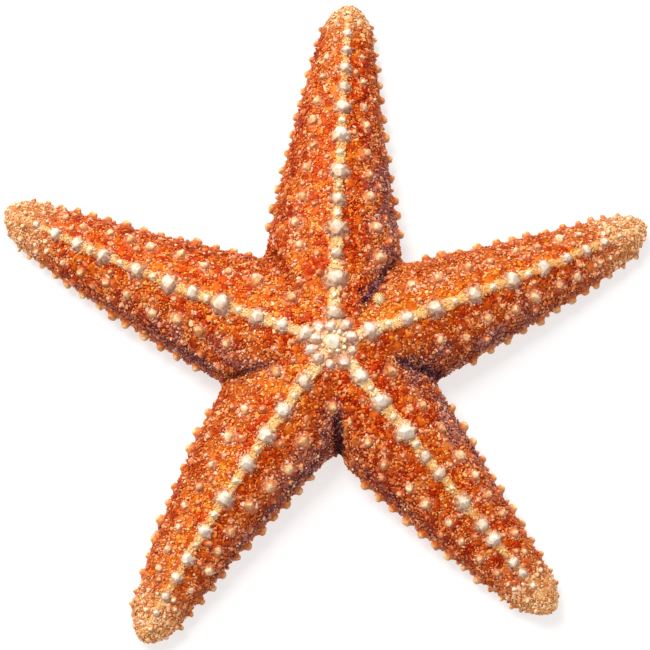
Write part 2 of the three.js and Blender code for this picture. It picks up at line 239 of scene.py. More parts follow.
def bisector(i):
    """The direction half-way between arm i and the arm that follows it clockwise."""
    turn = (ARMS[i].azimuth - ARMS[(i + 1) % len(ARMS)].azimuth) % 360
    return ARMS[i].azimuth - turn / 2


def along_and_left(arm, points):
    """How far points lie out along an arm and to the left of its bent middle, as the skin has it."""
    s, left = out_and_left(arm.azimuth, points)
    return s, left - side_shift(arm, np.clip(s / arm.length, 0, 1), points[:, 2])


def on_disc(azimuth, distance):
    """The point of the back at a place on the disc, which is as high as the highest arm there."""
    foot = offset(azimuth, distance)
    heights = [0.0]
    for arm in ARMS:
        (s,), (t,) = along_and_left(arm, foot[None])
        f = s / arm.length
        across = abs(t) / half_width(arm, f)
        if s >= 0 and across < 1:
            heights.append(arm_height(f) * back_share(across))
    foot[2] = max(heights)
    return foot


# ---- Meshes ----

DISC_MIDDLE = sum(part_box("mouth"), Vector()) / 2 / MM  # in the row frame
TO_ROW = np.array([DISC_MIDDLE.x, DISC_MIDDLE.y, 0.0])


def in_row(point):
    """A point in metres in the row frame."""
    return Vector((np.asarray(point) + TO_ROW) * MM)


def write_points(mesh, points):
    mesh.vertices.foreach_set("co", ((np.asarray(points) + TO_ROW) * MM).astype(np.float32).ravel())
    mesh.update()


def read(items, name, size, kind=np.float32):
    """One property of a mesh's points, edges or faces, with a row for each."""
    values = np.empty(len(items) * size, kind)
    items.foreach_get(name, values)
    return values.reshape(-1, size)


def read_points(mesh):
    return read(mesh.vertices, "co", 3).astype(float) / MM - TO_ROW


def read_normals(mesh):
    return read(mesh.vertices, "normal", 3).astype(float)


def make_object(name, points, faces, smooth=True):
    """An object of a mesh from points in millimetres round the disc's middle and lists of corners."""
    mesh = bpy.data.meshes.new(name)
    faces = np.asarray(faces, np.int32)
    count, corners = faces.shape
    mesh.vertices.add(len(points))
    write_points(mesh, points)
    mesh.loops.add(count * corners)
    mesh.loops.foreach_set("vertex_index", faces.ravel())
    mesh.polygons.add(count)
    mesh.polygons.foreach_set("loop_start", np.arange(count, dtype=np.int32) * corners)
    mesh.polygons.foreach_set("use_smooth", np.full(count, smooth))
    mesh.update(calc_edges=True)
    made = bpy.data.objects.new(name, mesh)
    bpy.context.scene.collection.objects.link(made)
    return made


def carry(mesh, name, values):
    """Puts a number for each point on a mesh, for its material to read."""
    attribute = mesh.attributes.new(name, "FLOAT", "POINT")
    attribute.data.foreach_set("value", np.asarray(values, np.float32))


def finish_piece(piece, material, slot, *nodes):
    """Gives a piece its one material, puts it in the root body and hides the nodes that it stands for; its
    slot is not used.
    """
    piece.data.materials.clear()
    piece.data.materials.append(material)
    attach(piece, "root")
    if nodes:
        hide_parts(*nodes)


def modified(thing):
    """Applies an object's modifiers."""
    graph = bpy.context.evaluated_depsgraph_get()
    mesh = bpy.data.meshes.new_from_object(thing.evaluated_get(graph))
    thing.modifiers.clear()
    thing.data = mesh


def remesh(thing, voxel):
    modifier = thing.modifiers.new("remesh", "REMESH")
    modifier.mode = "VOXEL"
    modifier.voxel_size = voxel * MM
    modifier.use_smooth_shade = True
    modified(thing)


def all_round(sectors):
    """Evenly spaced turns in radians."""
    return np.linspace(0, 2 * math.pi, sectors, endpoint=False)


def circle(radius, turns, z):
    """A level ring of points, with one radius or one for each turn."""
    return np.stack([radius * np.cos(turns), radius * np.sin(turns), np.full(len(turns), z)], 1)


def turned(profile, sectors):
    """The rings of a turned shape, from its radii and heights."""
    return [circle(r, all_round(sectors), z) for r, z in profile]


def loft(rings, first, last):
    """A closed skin over rings of points that run anticlockwise as seen from the last ring."""
    count, size = len(rings), len(rings[0])
    points = np.concatenate([*rings, [first], [last]])
    start, end = len(points) - 2, len(points) - 1
    j = np.arange(size)
    following = (j + 1) % size
    faces = [np.stack([np.full(size, start), following, j], 1)]
    for i in range(count - 1):
        here, above = i * size, (i + 1) * size
        faces.append(np.stack([here + j, here + following, above + following], 1))
        faces.append(np.stack([here + j, above + following, above + j], 1))
    top = (count - 1) * size
    faces.append(np.stack([np.full(size, end), top + j, top + following], 1))
    return points, np.concatenate(faces)


def joined(shapes):
    """One list of points and one of faces from several."""
    points, faces, count = [], [], 0
    for shape_points, shape_faces in shapes:
        points.append(shape_points)
        faces.append(np.asarray(shape_faces) + count)
        count += len(shape_points)
    return np.concatenate(points), np.concatenate(faces)


def axes_for(normals, spins):
    """For each normal, two directions across it and itself, turned about it by a spin."""
    z = normals / np.linalg.norm(normals, axis=1, keepdims=True)
    helper = np.where(np.abs(z[:, 2:3]) < 0.9, [[0.0, 0.0, 1.0]], [[1.0, 0.0, 0.0]])
    x = np.cross(helper, z)
    x /= np.linalg.norm(x, axis=1, keepdims=True)
    y = np.cross(z, x)
    c, s = np.cos(spins)[:, None], np.sin(spins)[:, None]
    return np.stack([x * c + y * s, y * c - x * s, z], axis=2)


def stamped(shapes, faces, choice, feet, frames, sizes):
    """Copies of some shapes with the same faces: copy i is shapes[choice[i]], sized, turned and moved."""
    local = shapes[choice] * sizes[:, None, :]
    points = np.einsum("nij,nkj->nki", frames, local) + feet[:, None, :]
    all_faces = faces[None] + (np.arange(len(feet)) * shapes.shape[1])[:, None, None]
    return points.reshape(-1, 3), all_faces.reshape(-1, faces.shape[1])


def tree_of(points):
    """A tree that finds which of some points are near."""
    tree = kdtree.KDTree(len(points))
    for i, point in enumerate(points):
        tree.insert(point, i)
    tree.balance()
    return tree


# ---- The skin ----

def cut_corners(outline, rounds):
    """A closed outline with its corners cut, again and again, which stays inside the first."""
    for _ in range(rounds):
        following = np.roll(outline, -1, axis=0)
        near, far = 0.75 * outline + 0.25 * following, 0.25 * outline + 0.75 * following
        outline = np.stack([near, far], 1).reshape(-1, 2)
    return outline


def arm_body(arm):
    left = np.array(SECTION, float)
    right = left[-2::-1] * [-1, 1]
    across, up = cut_corners(np.concatenate([left, right]), ROUNDINGS).T
    places = arm.length * np.sin(np.linspace(0, math.pi / 2, STATIONS, endpoint=False))
    rings = [skin_point(arm, s, across, up) for s in places]
    return loft(rings, skin_point(arm, 0.0, 0.0, TIP_CORE), skin_point(arm, arm.length, 0.0, TIP_CORE))


def crease_cutter(i):
    """The narrow fold in the back between arm i and the next one."""
    stations = [(CREASE_INNER, CREASE_INNER_FLOOR), (CREASE_OUTER, CREASE_FLOORS[i]),
                (CREASE_REACH, CREASE_FLOORS[i])]
    rings = []
    for r, floor in stations:
        half = CREASE_LEAN * (CREASE_TOP - floor)
        corners = [(0, floor), (half, CREASE_TOP), (-half, CREASE_TOP)]
        rings.append(np.array([offset(bisector(i), r, left, z) for left, z in corners]))
    middle = [offset(bisector(i), r, 0, (floor + CREASE_TOP) / 2) for r, floor in stations]
    return loft(rings, middle[0], middle[-1])


def groove_size(arm, s):
    """The share of its full width and depth that a groove has at s."""
    return 1 - GROOVE_TAPER * (s / (arm.length - GROOVE_TO_TIP)) ** 2


def groove_cutter(arm):
    rings = []
    places = np.linspace(GROOVE_FROM, arm.length - GROOVE_TO_TIP, GROOVE_STATIONS)
    for s in places:
        across, up = np.array(GROOVE_SECTION).T * groove_size(arm, s)
        rings.append(arm_point(arm, s, across * GROOVE_HALF_WIDTH, up * GROOVE_DEPTH + lift(arm, s)))
    return loft(rings, *[arm_point(arm, s, 0.0, lift(arm, s)) for s in places[[0, -1]]])


def mouth_cutter():
    profile = [(MOUTH_RADIUS + MOUTH_ROUNDING, -MOUTH_ROUNDING), (MOUTH_RADIUS, MOUTH_ROUNDING),
               (MOUTH_RADIUS, MOUTH_DEPTH - MOUTH_ROUNDING), (MOUTH_RADIUS - MOUTH_ROUNDING, MOUTH_DEPTH)]
    return loft(turned(profile, MOUTH_SECTORS), (0, 0, -MOUTH_ROUNDING), (0, 0, MOUTH_DEPTH))


def smooth(points, edges, rounds):
    """Points moved half-way to the middle of their neighbours, again and again."""
    counts = np.bincount(edges.ravel(), minlength=len(points))[:, None]
    for _ in range(rounds):
        total = np.zeros_like(points)
        np.add.at(total, edges[:, 0], points[edges[:, 1]])
        np.add.at(total, edges[:, 1], points[edges[:, 0]])
        points = (points + total / counts) / 2
    return points


def body_mesh():
    """The disc and arms in one closed mesh, cut as the solids are, and drawn in by the coat's depth."""
    body = make_object("skin", *joined([arm_body(arm) for arm in ARMS]))
    remesh(body, FIRST_VOXEL)
    shapes = [crease_cutter(i) for i in range(len(ARMS))] + [groove_cutter(arm) for arm in ARMS]
    cutters = [make_object(f"cutter_{i}", *shape) for i, shape in enumerate([*shapes, mouth_cutter()])]
    for cutter in cutters:
        modifier = body.modifiers.new("cut", "BOOLEAN")
        modifier.object, modifier.operation, modifier.solver = cutter, "DIFFERENCE", "MANIFOLD"
    modified(body)
    for cutter in cutters:
        bpy.data.objects.remove(cutter)
    remesh(body, LAST_VOXEL)
    edges = read(body.data.edges, "vertices", 2, np.int32)
    points = smooth(read_points(body.data), edges, SMOOTHINGS)
    write_points(body.data, points)
    write_points(body.data, points - COAT_DEPTH * read_normals(body.data))
    return body


def grain_noise(points, size, seed):
    return np.array([noise.noise(Vector(p / size) + Vector((seed, seed, seed))) for p in points])


class Places:
    """Where each of some points lies on the animal, as numbers that shapes and markings share."""

    def __init__(self, points, normals):
        angle = np.degrees(np.arctan2(points[:, 1], points[:, 0]))
        self.points, self.normals = points, normals
        self.radius = np.hypot(points[:, 0], points[:, 1])
        self.arm = np.zeros(len(points), int)
        self.s, self.t, self.length, self.half = np.ones((4, len(points)))
        for i, arm in enumerate(ARMS):
            mine = (angle - bisector(i)) % 360 < (bisector(i - 1) - bisector(i)) % 360
            self.arm[mine] = i
            self.s[mine], self.t[mine] = along_and_left(arm, points[mine])
            self.length[mine] = arm.length
            f = np.clip(self.s[mine] / arm.length, 0, 1)
            self.half[mine] = half_width(arm, f) * np.maximum(fullness(arm, self.s[mine]), 0.05)
        f = np.clip(self.s / self.length, 0, 1)
        self.to_tip = self.length - self.s
        self.across = self.t / self.half
        self.height = arm_height(f)
        self.from_crest = np.abs(self.t) / (RIDGE_WIDTH - RIDGE_WIDTH_FALL * f)
        self.from_crest *= 1 + 0.6 * grain_noise(points, 2.2, 5.0)
        self.looks_up = smoothstep(-0.2, 0.3, normals[:, 2])

    def by_side(self, pairs):
        """The number that the left or right side of an arm has, from a pair for each arm."""
        left, right = np.array(pairs)[self.arm].T
        return np.where(self.t > 0, left, right)

    def under(self):
        """1 on the underside, 0 on the back and sides."""
        low = 1 - smoothstep(0.10, 0.22, self.points[:, 2] / self.height)
        return low * smoothstep(0.0, 0.5, -self.normals[:, 2])

    def ridge(self):
        """1 along the crest of an arm, 0 beside it."""
        near = 1 - smoothstep(0.7, 1.4, self.from_crest)
        near *= (0.82 + 0.18 * smoothstep(62, 30, self.s)) * smoothstep(1, 6, self.to_tip)
        return near * self.looks_up

    def heart(self):
        """1 in the pale middle of the disc."""
        return smoothstep(8.0, 4.0, self.radius) * self.looks_up

    def crease(self):
        """1 where dark violet shade is painted deep in the folds between the arms and in the furrows above
        the edges' beads.
        """
        gaps = []
        for i, (strength, start, end) in enumerate(CREASE_SHADES):
            along, left = out_and_left(bisector(i), self.points)
            room = smoothstep(start - 3, start + 2, along)
            deep = np.exp(-(left / (0.8 + 0.04 * along)) ** 2) * smoothstep(end + 4, end - 3, along)
            beside = np.exp(-(left / (1.5 + 0.18 * along)) ** 2) * smoothstep(end + 12, end, along)
            gaps.append(strength * room * np.maximum(deep, 0.5 * beside * self.shade()))
        furrow = self.furrow() * (0.15 + 0.7 * self.shade())
        return np.maximum(np.max(gaps, axis=0), furrow) * smoothstep(0.4, 2.0, self.points[:, 2])

    def furrow(self):
        """1 in the painted shade of the furrow between an edge's beads and the side of the arm."""
        line = np.exp(-((np.abs(self.across) - FURROW_PLACE) / FURROW_WIDTH) ** 2) * self.by_side(FURROWS)
        return line * smoothstep(14, 30, self.s) * smoothstep(5, 42, self.to_tip) * (1 - self.under())

    def tip(self):
        """1 at the pale end of an arm."""
        return smoothstep(np.array(TIP_FADES)[self.arm], 1, self.to_tip)

    def flank(self):
        """0 on the crest, 1 low on the sides of an arm."""
        return smoothstep(0.35, 0.98, np.abs(self.across)) * (1 - self.under())

    def mauve(self):
        """1 on the mauve sides of an arm's inner half, turned from the light: partly the animal's violet
        tint, partly painted shade.
        """
        sides = smoothstep(0.3, 0.7, np.abs(self.across)) * self.by_side(MAUVE_SIDES)
        return sides * smoothstep(68, 36, self.s) * (1 - self.under())

    def shade(self):
        """Painted shade: 1 on the sides turned from the key light, painted redder and darker, 0 on those
        that face it.
        """
        return smoothstep(-0.3, 0.25, self.normals @ AWAY_FROM_LIGHT) * (1 - self.under())

    def marks(self):
        """How strongly each palette shows at each point; painted shade lies on the sides turned from the
        light, low on the flanks and in the furrows, and the flanks' browner tint is partly the animal's own
        and partly painted shade, stronger on the shaded side.
        """
        flank, furrow = self.flank(), self.furrow()
        shaded = 0.45 + 0.55 * smoothstep(0.0, 0.8, self.normals @ AWAY_FROM_LIGHT)
        return {"ridge": self.ridge(), "crease": self.crease(), "tip": self.tip(), "under": self.under(),
                "shade": np.maximum.reduce([self.shade(), 0.92 * flank, 0.9 * furrow]),
                "mauve": self.mauve(), "flank": np.maximum(flank * shaded, 0.55 * furrow)}


def cells_of(points):
    """The skin's cells at some points: how near the mesh of ridges is, from 0 to 1, and two random
    numbers that are the same all over one cell."""
    near, numbers = [], []
    for p in points:
        at = Vector(p / CELL)
        at += 0.35 * noise.noise_vector(at * 1.3)
        distances, middles = noise.voronoi(at)
        near.append(distances[1] - distances[0])
        middle = middles[0]
        numbers.append((scatter(middle.x + middle.z, middle.y), scatter(middle.y - middle.z, middle.x)))
    return np.column_stack([1 - smoothstep(0.06, 0.42, np.array(near)), np.array(numbers)])


def make_skin():
    """The body with its soft relief, and where each of its points lies."""
    body = body_mesh()
    points, normals = read_points(body.data), read_normals(body.data)
    places, cells = Places(points, normals), cells_of(points)
    ridge, tip = places.ridge(), places.tip()
    relief = CELL_RELIEF * (0.4 - cells[:, 0]) * (1 - places.under()) * (1 - 0.7 * tip) * (1 - ridge)
    relief += RIDGE_RELIEF * ridge * (1 - tip)
    relief += GRAIN_RELIEF * grain_noise(points, 1.1, 3.0)
    relief *= smoothstep(0.3, 1.2, points[:, 2])
    points = points + relief[:, None] * normals
    points[:, 2] = np.maximum(points[:, 2], LOWEST_SKIN)
    write_points(body.data, points)
    return body, places, cells


# ---- Materials ----

def paint(*screen):
    """A colour from its red, green and blue on a screen, from 0 to 255."""
    x = np.array(screen) / 255
    return (*np.where(x <= 0.04045, x / 12.92, ((x + 0.055) / 1.055) ** 2.4), 1.0)


class Shading:
    """A material's nodes, made one after another and linked by their sockets."""

    def __init__(self, name, roughness, specular, tint=(1, 1, 1)):
        self.material = bpy.data.materials.new(name)
        self.material.use_nodes = True
        self.tree = self.material.node_tree
        self.shader = self.tree.nodes["Principled BSDF"]
        self.put(self.shader, {"Roughness": roughness, "Specular IOR Level": specular,
                               "Specular Tint": (*tint, 1)})

    def put(self, node, values):
        """Links each of a node's inputs to a socket, or sets it to a plain value."""
        for key, value in values.items():
            if isinstance(value, bpy.types.NodeSocket):
                self.tree.links.new(value, node.inputs[key])
            else:
                node.inputs[key].default_value = value

    def node(self, kind, values):
        made = self.tree.nodes.new("ShaderNode" + kind)
        self.put(made, values)
        return made

    def attribute(self, name):
        node = self.node("Attribute", {})
        node.attribute_name = name
        return node.outputs["Fac"]

    def math(self, operation, a, b):
        """A sum or product of two values, kept from 0 to 1."""
        node = self.node("Math", {0: a, 1: b})
        node.operation, node.use_clamp = operation, True
        return node.outputs[0]

    def mapped(self, value, low, high, to_low, to_high):
        node = self.node("MapRange", dict(enumerate((value, low, high, to_low, to_high))))
        node.interpolation_type = "SMOOTHSTEP"
        return node.outputs[0]

    def noise(self, size, detail=3.0, roughness=0.6):
        """Cloudy noise from 0 to 1 with blotches of a size in millimetres."""
        place = self.node("TexCoord", {}).outputs["Object"]
        return self.node("TexNoise", {"Vector": place, "Scale": 1 / (size * MM), "Detail": detail,
                                      "Roughness": roughness}).outputs["Fac"]

    def clouded(self, value, size, low, high, detail=3.0):
        """A value from 0 to 1 with cloudy noise added, which goes from low to high."""
        return self.math("ADD", value, self.mapped(self.noise(size, detail), 0.3, 0.7, low, high))

    def ramp(self, value, places, palette):
        """The colours of a palette along a value, each at its place."""
        node = self.node("ValToRGB", {"Fac": value})
        elements = node.color_ramp.elements
        elements.remove(elements[1])
        for place, colour in zip(places, palette):
            element = elements[0] if place == 0.0 else elements.new(place)
            element.color = paint(*colour)
        return node.outputs["Color"]

    def mix(self, share, first, second):
        node = self.node("Mix", {})
        node.data_type = "RGBA"
        numbers = {socket.identifier: k for k, socket in enumerate(node.inputs)}
        self.put(node, {numbers["Factor_Float"]: share, numbers["A_Color"]: first,
                        numbers["B_Color"]: second})
        return next(s for s in node.outputs if s.identifier == "Result_Color")

    def bump(self, height, depth):
        """Faint relief of a depth in millimetres."""
        node = self.node("Bump", {"Height": height, "Distance": depth * MM, "Strength": 0.5})
        self.put(self.shader, {"Normal": node.outputs["Normal"]})

    def finish(self, colour):
        self.put(self.shader, {"Base Color": colour})
        return self.material


WARM = (1.0, 0.6, 0.35)  # the tint of the skin's gloss
GRAIN_FOOT_SHADE = (160, 38, 6)

# Each palette runs from its deep gaps to its palest grains. The markings lie over the back, and each over
# those before it; shade and crease are painted shade, and flank and mauve are partly the animal's tints,
# partly painted shade.
STOPS = (0.0, 0.15, 0.3, 0.5, 0.7, 0.87, 1.0)
BACK = [(176, 32, 0), (208, 58, 4), (227, 88, 12), (238, 114, 26), (246, 141, 48), (252, 175, 90),
        (254, 215, 160)]
MARKINGS = {
    "shade": [(132, 22, 2), (168, 38, 3), (195, 58, 6), (212, 78, 14), (227, 104, 32), (241, 141, 68),
              (250, 192, 134)],
    "amber": [(200, 88, 8), (221, 114, 16), (234, 139, 32), (242, 163, 60), (248, 187, 94),
              (252, 209, 138), (255, 233, 194)],
    "peach": [(166, 58, 8), (196, 86, 22), (217, 112, 40), (231, 138, 64), (242, 164, 94),
              (250, 192, 132), (255, 223, 184)],
    "flank": [(128, 36, 8), (162, 62, 16), (188, 88, 34), (208, 109, 50), (225, 135, 76),
              (240, 166, 112), (250, 212, 178)],
    "mauve": [(116, 52, 50), (152, 82, 70), (178, 104, 86), (196, 126, 104), (214, 150, 128),
              (230, 180, 160), (246, 216, 200)],
    "crease": [(34, 9, 30), (66, 24, 42), (94, 42, 66), (132, 66, 62), (152, 98, 110),
               (200, 140, 120), (228, 192, 178)],
    "tip": [(188, 118, 62), (213, 146, 86), (230, 168, 108), (242, 189, 133), (250, 208, 160),
            (254, 223, 184), (255, 242, 220)],
    "under": [(206, 120, 62), (218, 140, 82), (230, 160, 104), (240, 180, 126), (246, 200, 150),
              (251, 218, 176), (255, 236, 206)],
    "ridge": [(202, 122, 52), (222, 152, 80), (237, 181, 108), (245, 203, 134), (250, 219, 162),
              (253, 234, 192), (255, 247, 226)],
    "collar": [(192, 92, 56), (212, 122, 82), (228, 150, 112), (240, 176, 140), (247, 198, 166),
               (252, 216, 190), (255, 236, 222)],
}


def markings(shading, tone):
    """The animal's pattern with its painted shade: which palette shows where, each read at a tone from 0 to
    1.
    """
    colour = shading.ramp(tone, STOPS, BACK)
    for name, palette in MARKINGS.items():
        layer = shading.ramp(tone, STOPS, palette)
        colour = shading.mix(shading.attribute(name), colour, layer)
    return colour


def skin_material():
    """Smooth and soft between the grains."""
    shading = Shading("starfish_skin", roughness=0.32, specular=0.16, tint=WARM)
    tone = shading.clouded(shading.attribute("tone"), 0.9, -0.1, 0.1, detail=4.0)
    shading.bump(shading.noise(0.5), 0.15)
    return shading.finish(markings(shading, tone))


def coat_material():
    """A grain has painted shade round its foot, so it is darker there than on top."""
    shading = Shading("starfish_grains", roughness=0.45, specular=0.1, tint=WARM)
    colour = markings(shading, shading.attribute("tone"))
    foot = shading.mapped(shading.attribute("up"), 0.7, 0.2, 0.0, 0.35)
    return shading.finish(shading.mix(foot, colour, paint(*GRAIN_FOOT_SHADE)))


# ---- The coat of grains ----

def gem_shapes(count):
    """Angular grains: dented, flattened icosahedra, with the same faces, and a map of those faces
    that unfolds a grain from its top."""
    turns, z, r = all_round(5), 1 / math.sqrt(5), 2 / math.sqrt(5)
    upper, lower = circle(r, turns, z), circle(r, turns + 0.2 * math.pi, -z)
    points = np.concatenate([[(0, 0, 1)], upper, lower, [(0, 0, -1)]])
    faces = []
    for i in range(5):
        a, b = 1 + i, 1 + (i + 1) % 5
        c, d = a + 5, b + 5
        faces += [(0, a, b), (a, c, b), (c, d, b), (11, d, c)]
    faces = np.array(faces)
    dents = rng.uniform(0.72, 1.2, (count, 12, 1))
    shapes = points * dents + rng.uniform(-0.12, 0.12, (count, 12, 3))
    polar = np.arccos(points[:, 2]) / math.pi
    azimuth = np.arctan2(points[:, 1], points[:, 0])
    unfolded = np.stack([polar * np.cos(azimuth), polar * np.sin(azimuth)], 1)[faces]
    unfolded[faces[:, 0] == 0, 0] = 0
    for k in np.flatnonzero(faces[:, 0] == 11):
        outwards = unfolded[k, 1:].mean(0)
        unfolded[k, 0] = outwards / np.linalg.norm(outwards)
    return shapes, faces, unfolded


PATCH = 0.0015  # half the width of a grain's patch on the bake map
GRAIN_SHAPES = 12

# The layers of the coat: how far apart grains are, their half-width, their height as a share of it,
# how deep they are set, their middle tone and its spread, and where they stand.
Layer = namedtuple("Layer", "spacing size height depth tone spread where")
LAYERS = [Layer(0.84, 0.46, 0.6, 0.1, 0.43, 0.17, "beside the crests"),
          Layer(0.48, 0.25, 0.9, -0.08, 0.46, 0.14, "everywhere"),
          Layer(0.66, 0.38, 0.55, 0.05, 0.52, 0.18, "on the crests"),
          Layer(0.95, 0.3, 0.9, 0.0, 0.55, 0.18, "round the tubercles")]
CREST_STRETCH = 1.5  # how long the crest's lumps are along the arm
WREATH_DISTANCE = 0.60  # from the middle of a tubercle, as a share of its width
# The sparkle grains are white: painted glints.
PINK_SHARE, SPARKLE_SHARE = 0.055, 0.004  # of all grains
MARK_SPREADS = {"ridge": 0.17, "tip": 0.1, "collar": 0.17, "crease": 0.2, "amber": 0.17, "mauve": 0.2,
                "peach": 0.15}  # how much each mark differs from grain to grain


def disc_tone(radius):
    """How much paler the crests' grains are towards the middle of the disc."""
    return 0.2 * smoothstep(28, 8, radius)


class Ground:
    """The places where grains may stand: the skin's points and the middles of its faces."""

    def __init__(self, skin, cells, knobs):
        corners = read(skin.data.polygons, "vertices", 4, np.int32)
        points, normals = read_points(skin.data), read_normals(skin.data)
        self.points = np.concatenate([points, points[corners].mean(1)])
        self.normals = np.concatenate([normals, normals[corners].mean(1)])
        self.normals /= np.linalg.norm(self.normals, axis=1, keepdims=True)
        middles = np.column_stack([cells[corners, 0].mean(1), cells[corners[:, 0], 1:]])
        self.web, self.random, self.second = np.concatenate([cells, middles]).T
        self.places = Places(self.points, self.normals)
        self.tree = tree_of(self.points)
        collar, covered = self.collars(knobs)
        self.marks = self.marks_with(collar)
        self.free = ~(covered | self.grooves() | self.bare())

    def collars(self, knobs):
        """How near the next tubercle is, from 0 to 1, and whether a place is under one."""
        collar, covered = np.zeros(len(self.points)), np.zeros(len(self.points), bool)
        for foot, width, reach in knobs:
            for _, i, distance in self.tree.find_range(Vector(foot), reach * width):
                covered[i] |= distance < 0.4 * width
                collar[i] = max(collar[i], 1 - smoothstep(0.55 * width, reach * width, distance))
        return collar, covered

    def marks_with(self, collar):
        """The places' marks, with clouds of amber, peach and mauve and the pale collars and heart."""
        places, marks = self.places, self.places.marks()
        patches = 0.5 + 0.8 * grain_noise(self.points, 9.0, 7.0) + np.array(AMBER_ARMS)[places.arm]
        amber = smoothstep(0.5, 0.85, 0.6 * patches + 0.5 * self.second)
        halo = smoothstep(2.6, 1.2, places.from_crest) * smoothstep(0.3, 0.8, patches)
        # Less amber where shade is painted.
        marks["amber"] = np.maximum(amber, 0.8 * halo) * (0.75 - 0.5 * marks["shade"])
        clouds = grain_noise(self.points, 5.0, 11.0)
        marks["mauve"] *= smoothstep(0.25, 0.65, 0.5 + clouds)
        across = np.abs(places.across)
        peach = places.by_side(PEACH_SIDES) - 0.6 * clouds + 0.4 * (self.second - 0.5)
        beside = smoothstep(0.16, 0.5, across) * (1 - 0.6 * smoothstep(0.5, 0.9, across))
        marks["peach"] = smoothstep(0.25, 0.75, peach) * beside
        ridge = marks["ridge"] = np.maximum(marks["ridge"], 0.75 * places.heart())
        marks["collar"] = np.maximum(collar * (1 - ridge), 0.45 * places.heart())
        marks["tone"] = 0.32 * self.second * (1 - self.web) + ridge * (0.36 + disc_tone(places.radius))
        return marks

    def grooves(self):
        """Whether a place is in the groove under an arm."""
        inside = np.abs(self.places.t) < 1.15 * GROOVE_HALF_WIDTH
        inside &= self.places.to_tip > GROOVE_TO_TIP - 1
        return inside & (self.normals[:, 2] < 0.3) & (self.points[:, 2] < GROOVE_DEPTH + 0.3)

    def bare(self):
        """Whether a place is in a cell that grains leave open."""
        clothed = np.maximum.reduce([self.marks[name] for name in ("tip", "under", "ridge", "crease")])
        return (self.random < BARE_SHARE * (1 - smoothstep(0.2, 0.6, clothed))) & (self.web < 0.45)

    def pick(self, layer):
        """Places about the layer's spacing apart, wider in the pits and on the underside."""
        under, ridge = self.places.under(), self.marks["ridge"]
        room = layer.spacing * (1 + 0.45 * under - 0.2 * self.places.tip())
        room += 0.2 * layer.spacing * (1 - self.web) * (1 - under) * (1 - ridge)
        here = {"beside the crests": ridge <= 0.5, "on the crests": ridge > 0.5, "everywhere": True}
        free = self.free & here[layer.where]
        taken, chosen = ~free, []
        for i in rng.permutation(np.flatnonzero(free)):
            if not taken[i]:
                chosen.append(i)
                for _, j, _ in self.tree.find_range(Vector(self.points[i]), room[i]):
                    taken[j] = True
        return np.array(chosen)

    def wreaths(self, layer, knobs):
        """The places nearest to rings of grains round some tubercles."""
        chosen = []
        for foot, axis, width, _ in knobs:
            distance = WREATH_DISTANCE * width
            count = round(2 * math.pi * distance / layer.spacing)
            frame = axes_for(axis[None], rng.uniform(0, 1, 1))[0]
            for turn in 2 * math.pi / count * (np.arange(count) + rng.uniform(-0.2, 0.2, count)):
                at = foot + distance * rng.uniform(0.93, 1.15) * frame @ (math.cos(turn), math.sin(turn), 0)
                place = self.tree.find(Vector(at))[1]
                if self.marks["ridge"][place] < 0.5:
                    chosen.append(place)
        return np.array(chosen)


def grain_marks(ground, layer, mine):
    """The marks of some grains, each a little off its place's, and a random number for each grain."""
    marks = {name: values[mine] for name, values in ground.marks.items()}
    for name, spread in MARK_SPREADS.items():
        marks[name] = smoothstep(0.2, 0.8, marks[name] + rng.normal(0, spread, len(mine)))
    if layer.where == "on the crests":
        marks["ridge"] = np.maximum(marks["ridge"], 0.9)
        marks["collar"] = np.maximum(marks["collar"], 0.8 * marks["tip"])
    if layer.where == "round the tubercles":
        marks["collar"] = np.maximum(marks["collar"], 0.65)
    chance = rng.random(len(mine))
    # Fewer pale flecks where shade is painted.
    pink = chance < PINK_SHARE * (0.3 + 1.4 * ground.web[mine]) * (1 - 0.5 * marks["shade"])
    marks["collar"] = np.where(pink, np.maximum(marks["collar"], 0.7), marks["collar"])
    return marks, chance


def grain_layer(ground, layer, mine, shapes, faces):
    """The points, faces and marks of one layer's grains at some of the ground's places."""
    count, normals, web = len(mine), ground.normals[mine], ground.web[mine]
    marks, chance = grain_marks(ground, layer, mine)
    size = layer.size * np.clip(rng.lognormal(0, 0.28, count), 0.5, 1.7) * (0.85 + 0.25 * web)
    size *= 1 - 0.05 * marks["tip"] + 0.2 * marks["under"]
    stretch = rng.lognormal(0, 0.28, count)
    spins = rng.uniform(0, 2 * math.pi, count)
    if layer.where == "on the crests":
        stretch *= CREST_STRETCH
        directions = np.radians([arm.azimuth + 90 for arm in ARMS])[ground.places.arm[mine]]
        spins = directions + rng.normal(0, 0.3, count)
    height = layer.height * size * rng.uniform(0.7, 1.25, count) * (1 + 0.5 * marks["under"])
    feet = ground.points[mine] + rng.normal(0, 0.12, (count, 3)) - layer.depth * normals
    frames = axes_for(normals + rng.normal(0, 0.25, (count, 3)), spins)
    choice = rng.integers(0, GRAIN_SHAPES, count)
    sizes = np.stack([size * stretch, size / stretch, height], 1)
    points, all_faces = stamped(shapes, faces, choice, feet, frames, sizes)
    points[:, 2] = np.maximum(points[:, 2], LOWEST_GRAIN)
    tone = rng.normal(layer.tone, layer.spread, count) + 0.32 * (web - 0.5) * (1 - marks["ridge"])
    # Grains are a little paler where no shade is painted: painted light on the lit sides.
    tone += 0.2 * (ground.second[mine] - 0.5) + 0.05 * (1 - marks["shade"])
    tone += marks["ridge"] * disc_tone(ground.places.radius[mine])
    # The sparkle grains take the palest tone: painted glints.
    marks["tone"] = np.where(chance < SPARKLE_SHARE, 1.0, np.clip(tone, 0, 0.95))
    marks = {name: np.repeat(values, shapes.shape[1]) for name, values in marks.items()}
    marks["up"] = np.clip(0.5 + 0.5 * shapes[choice][:, :, 2], 0, 1).ravel()
    return points, all_faces, marks


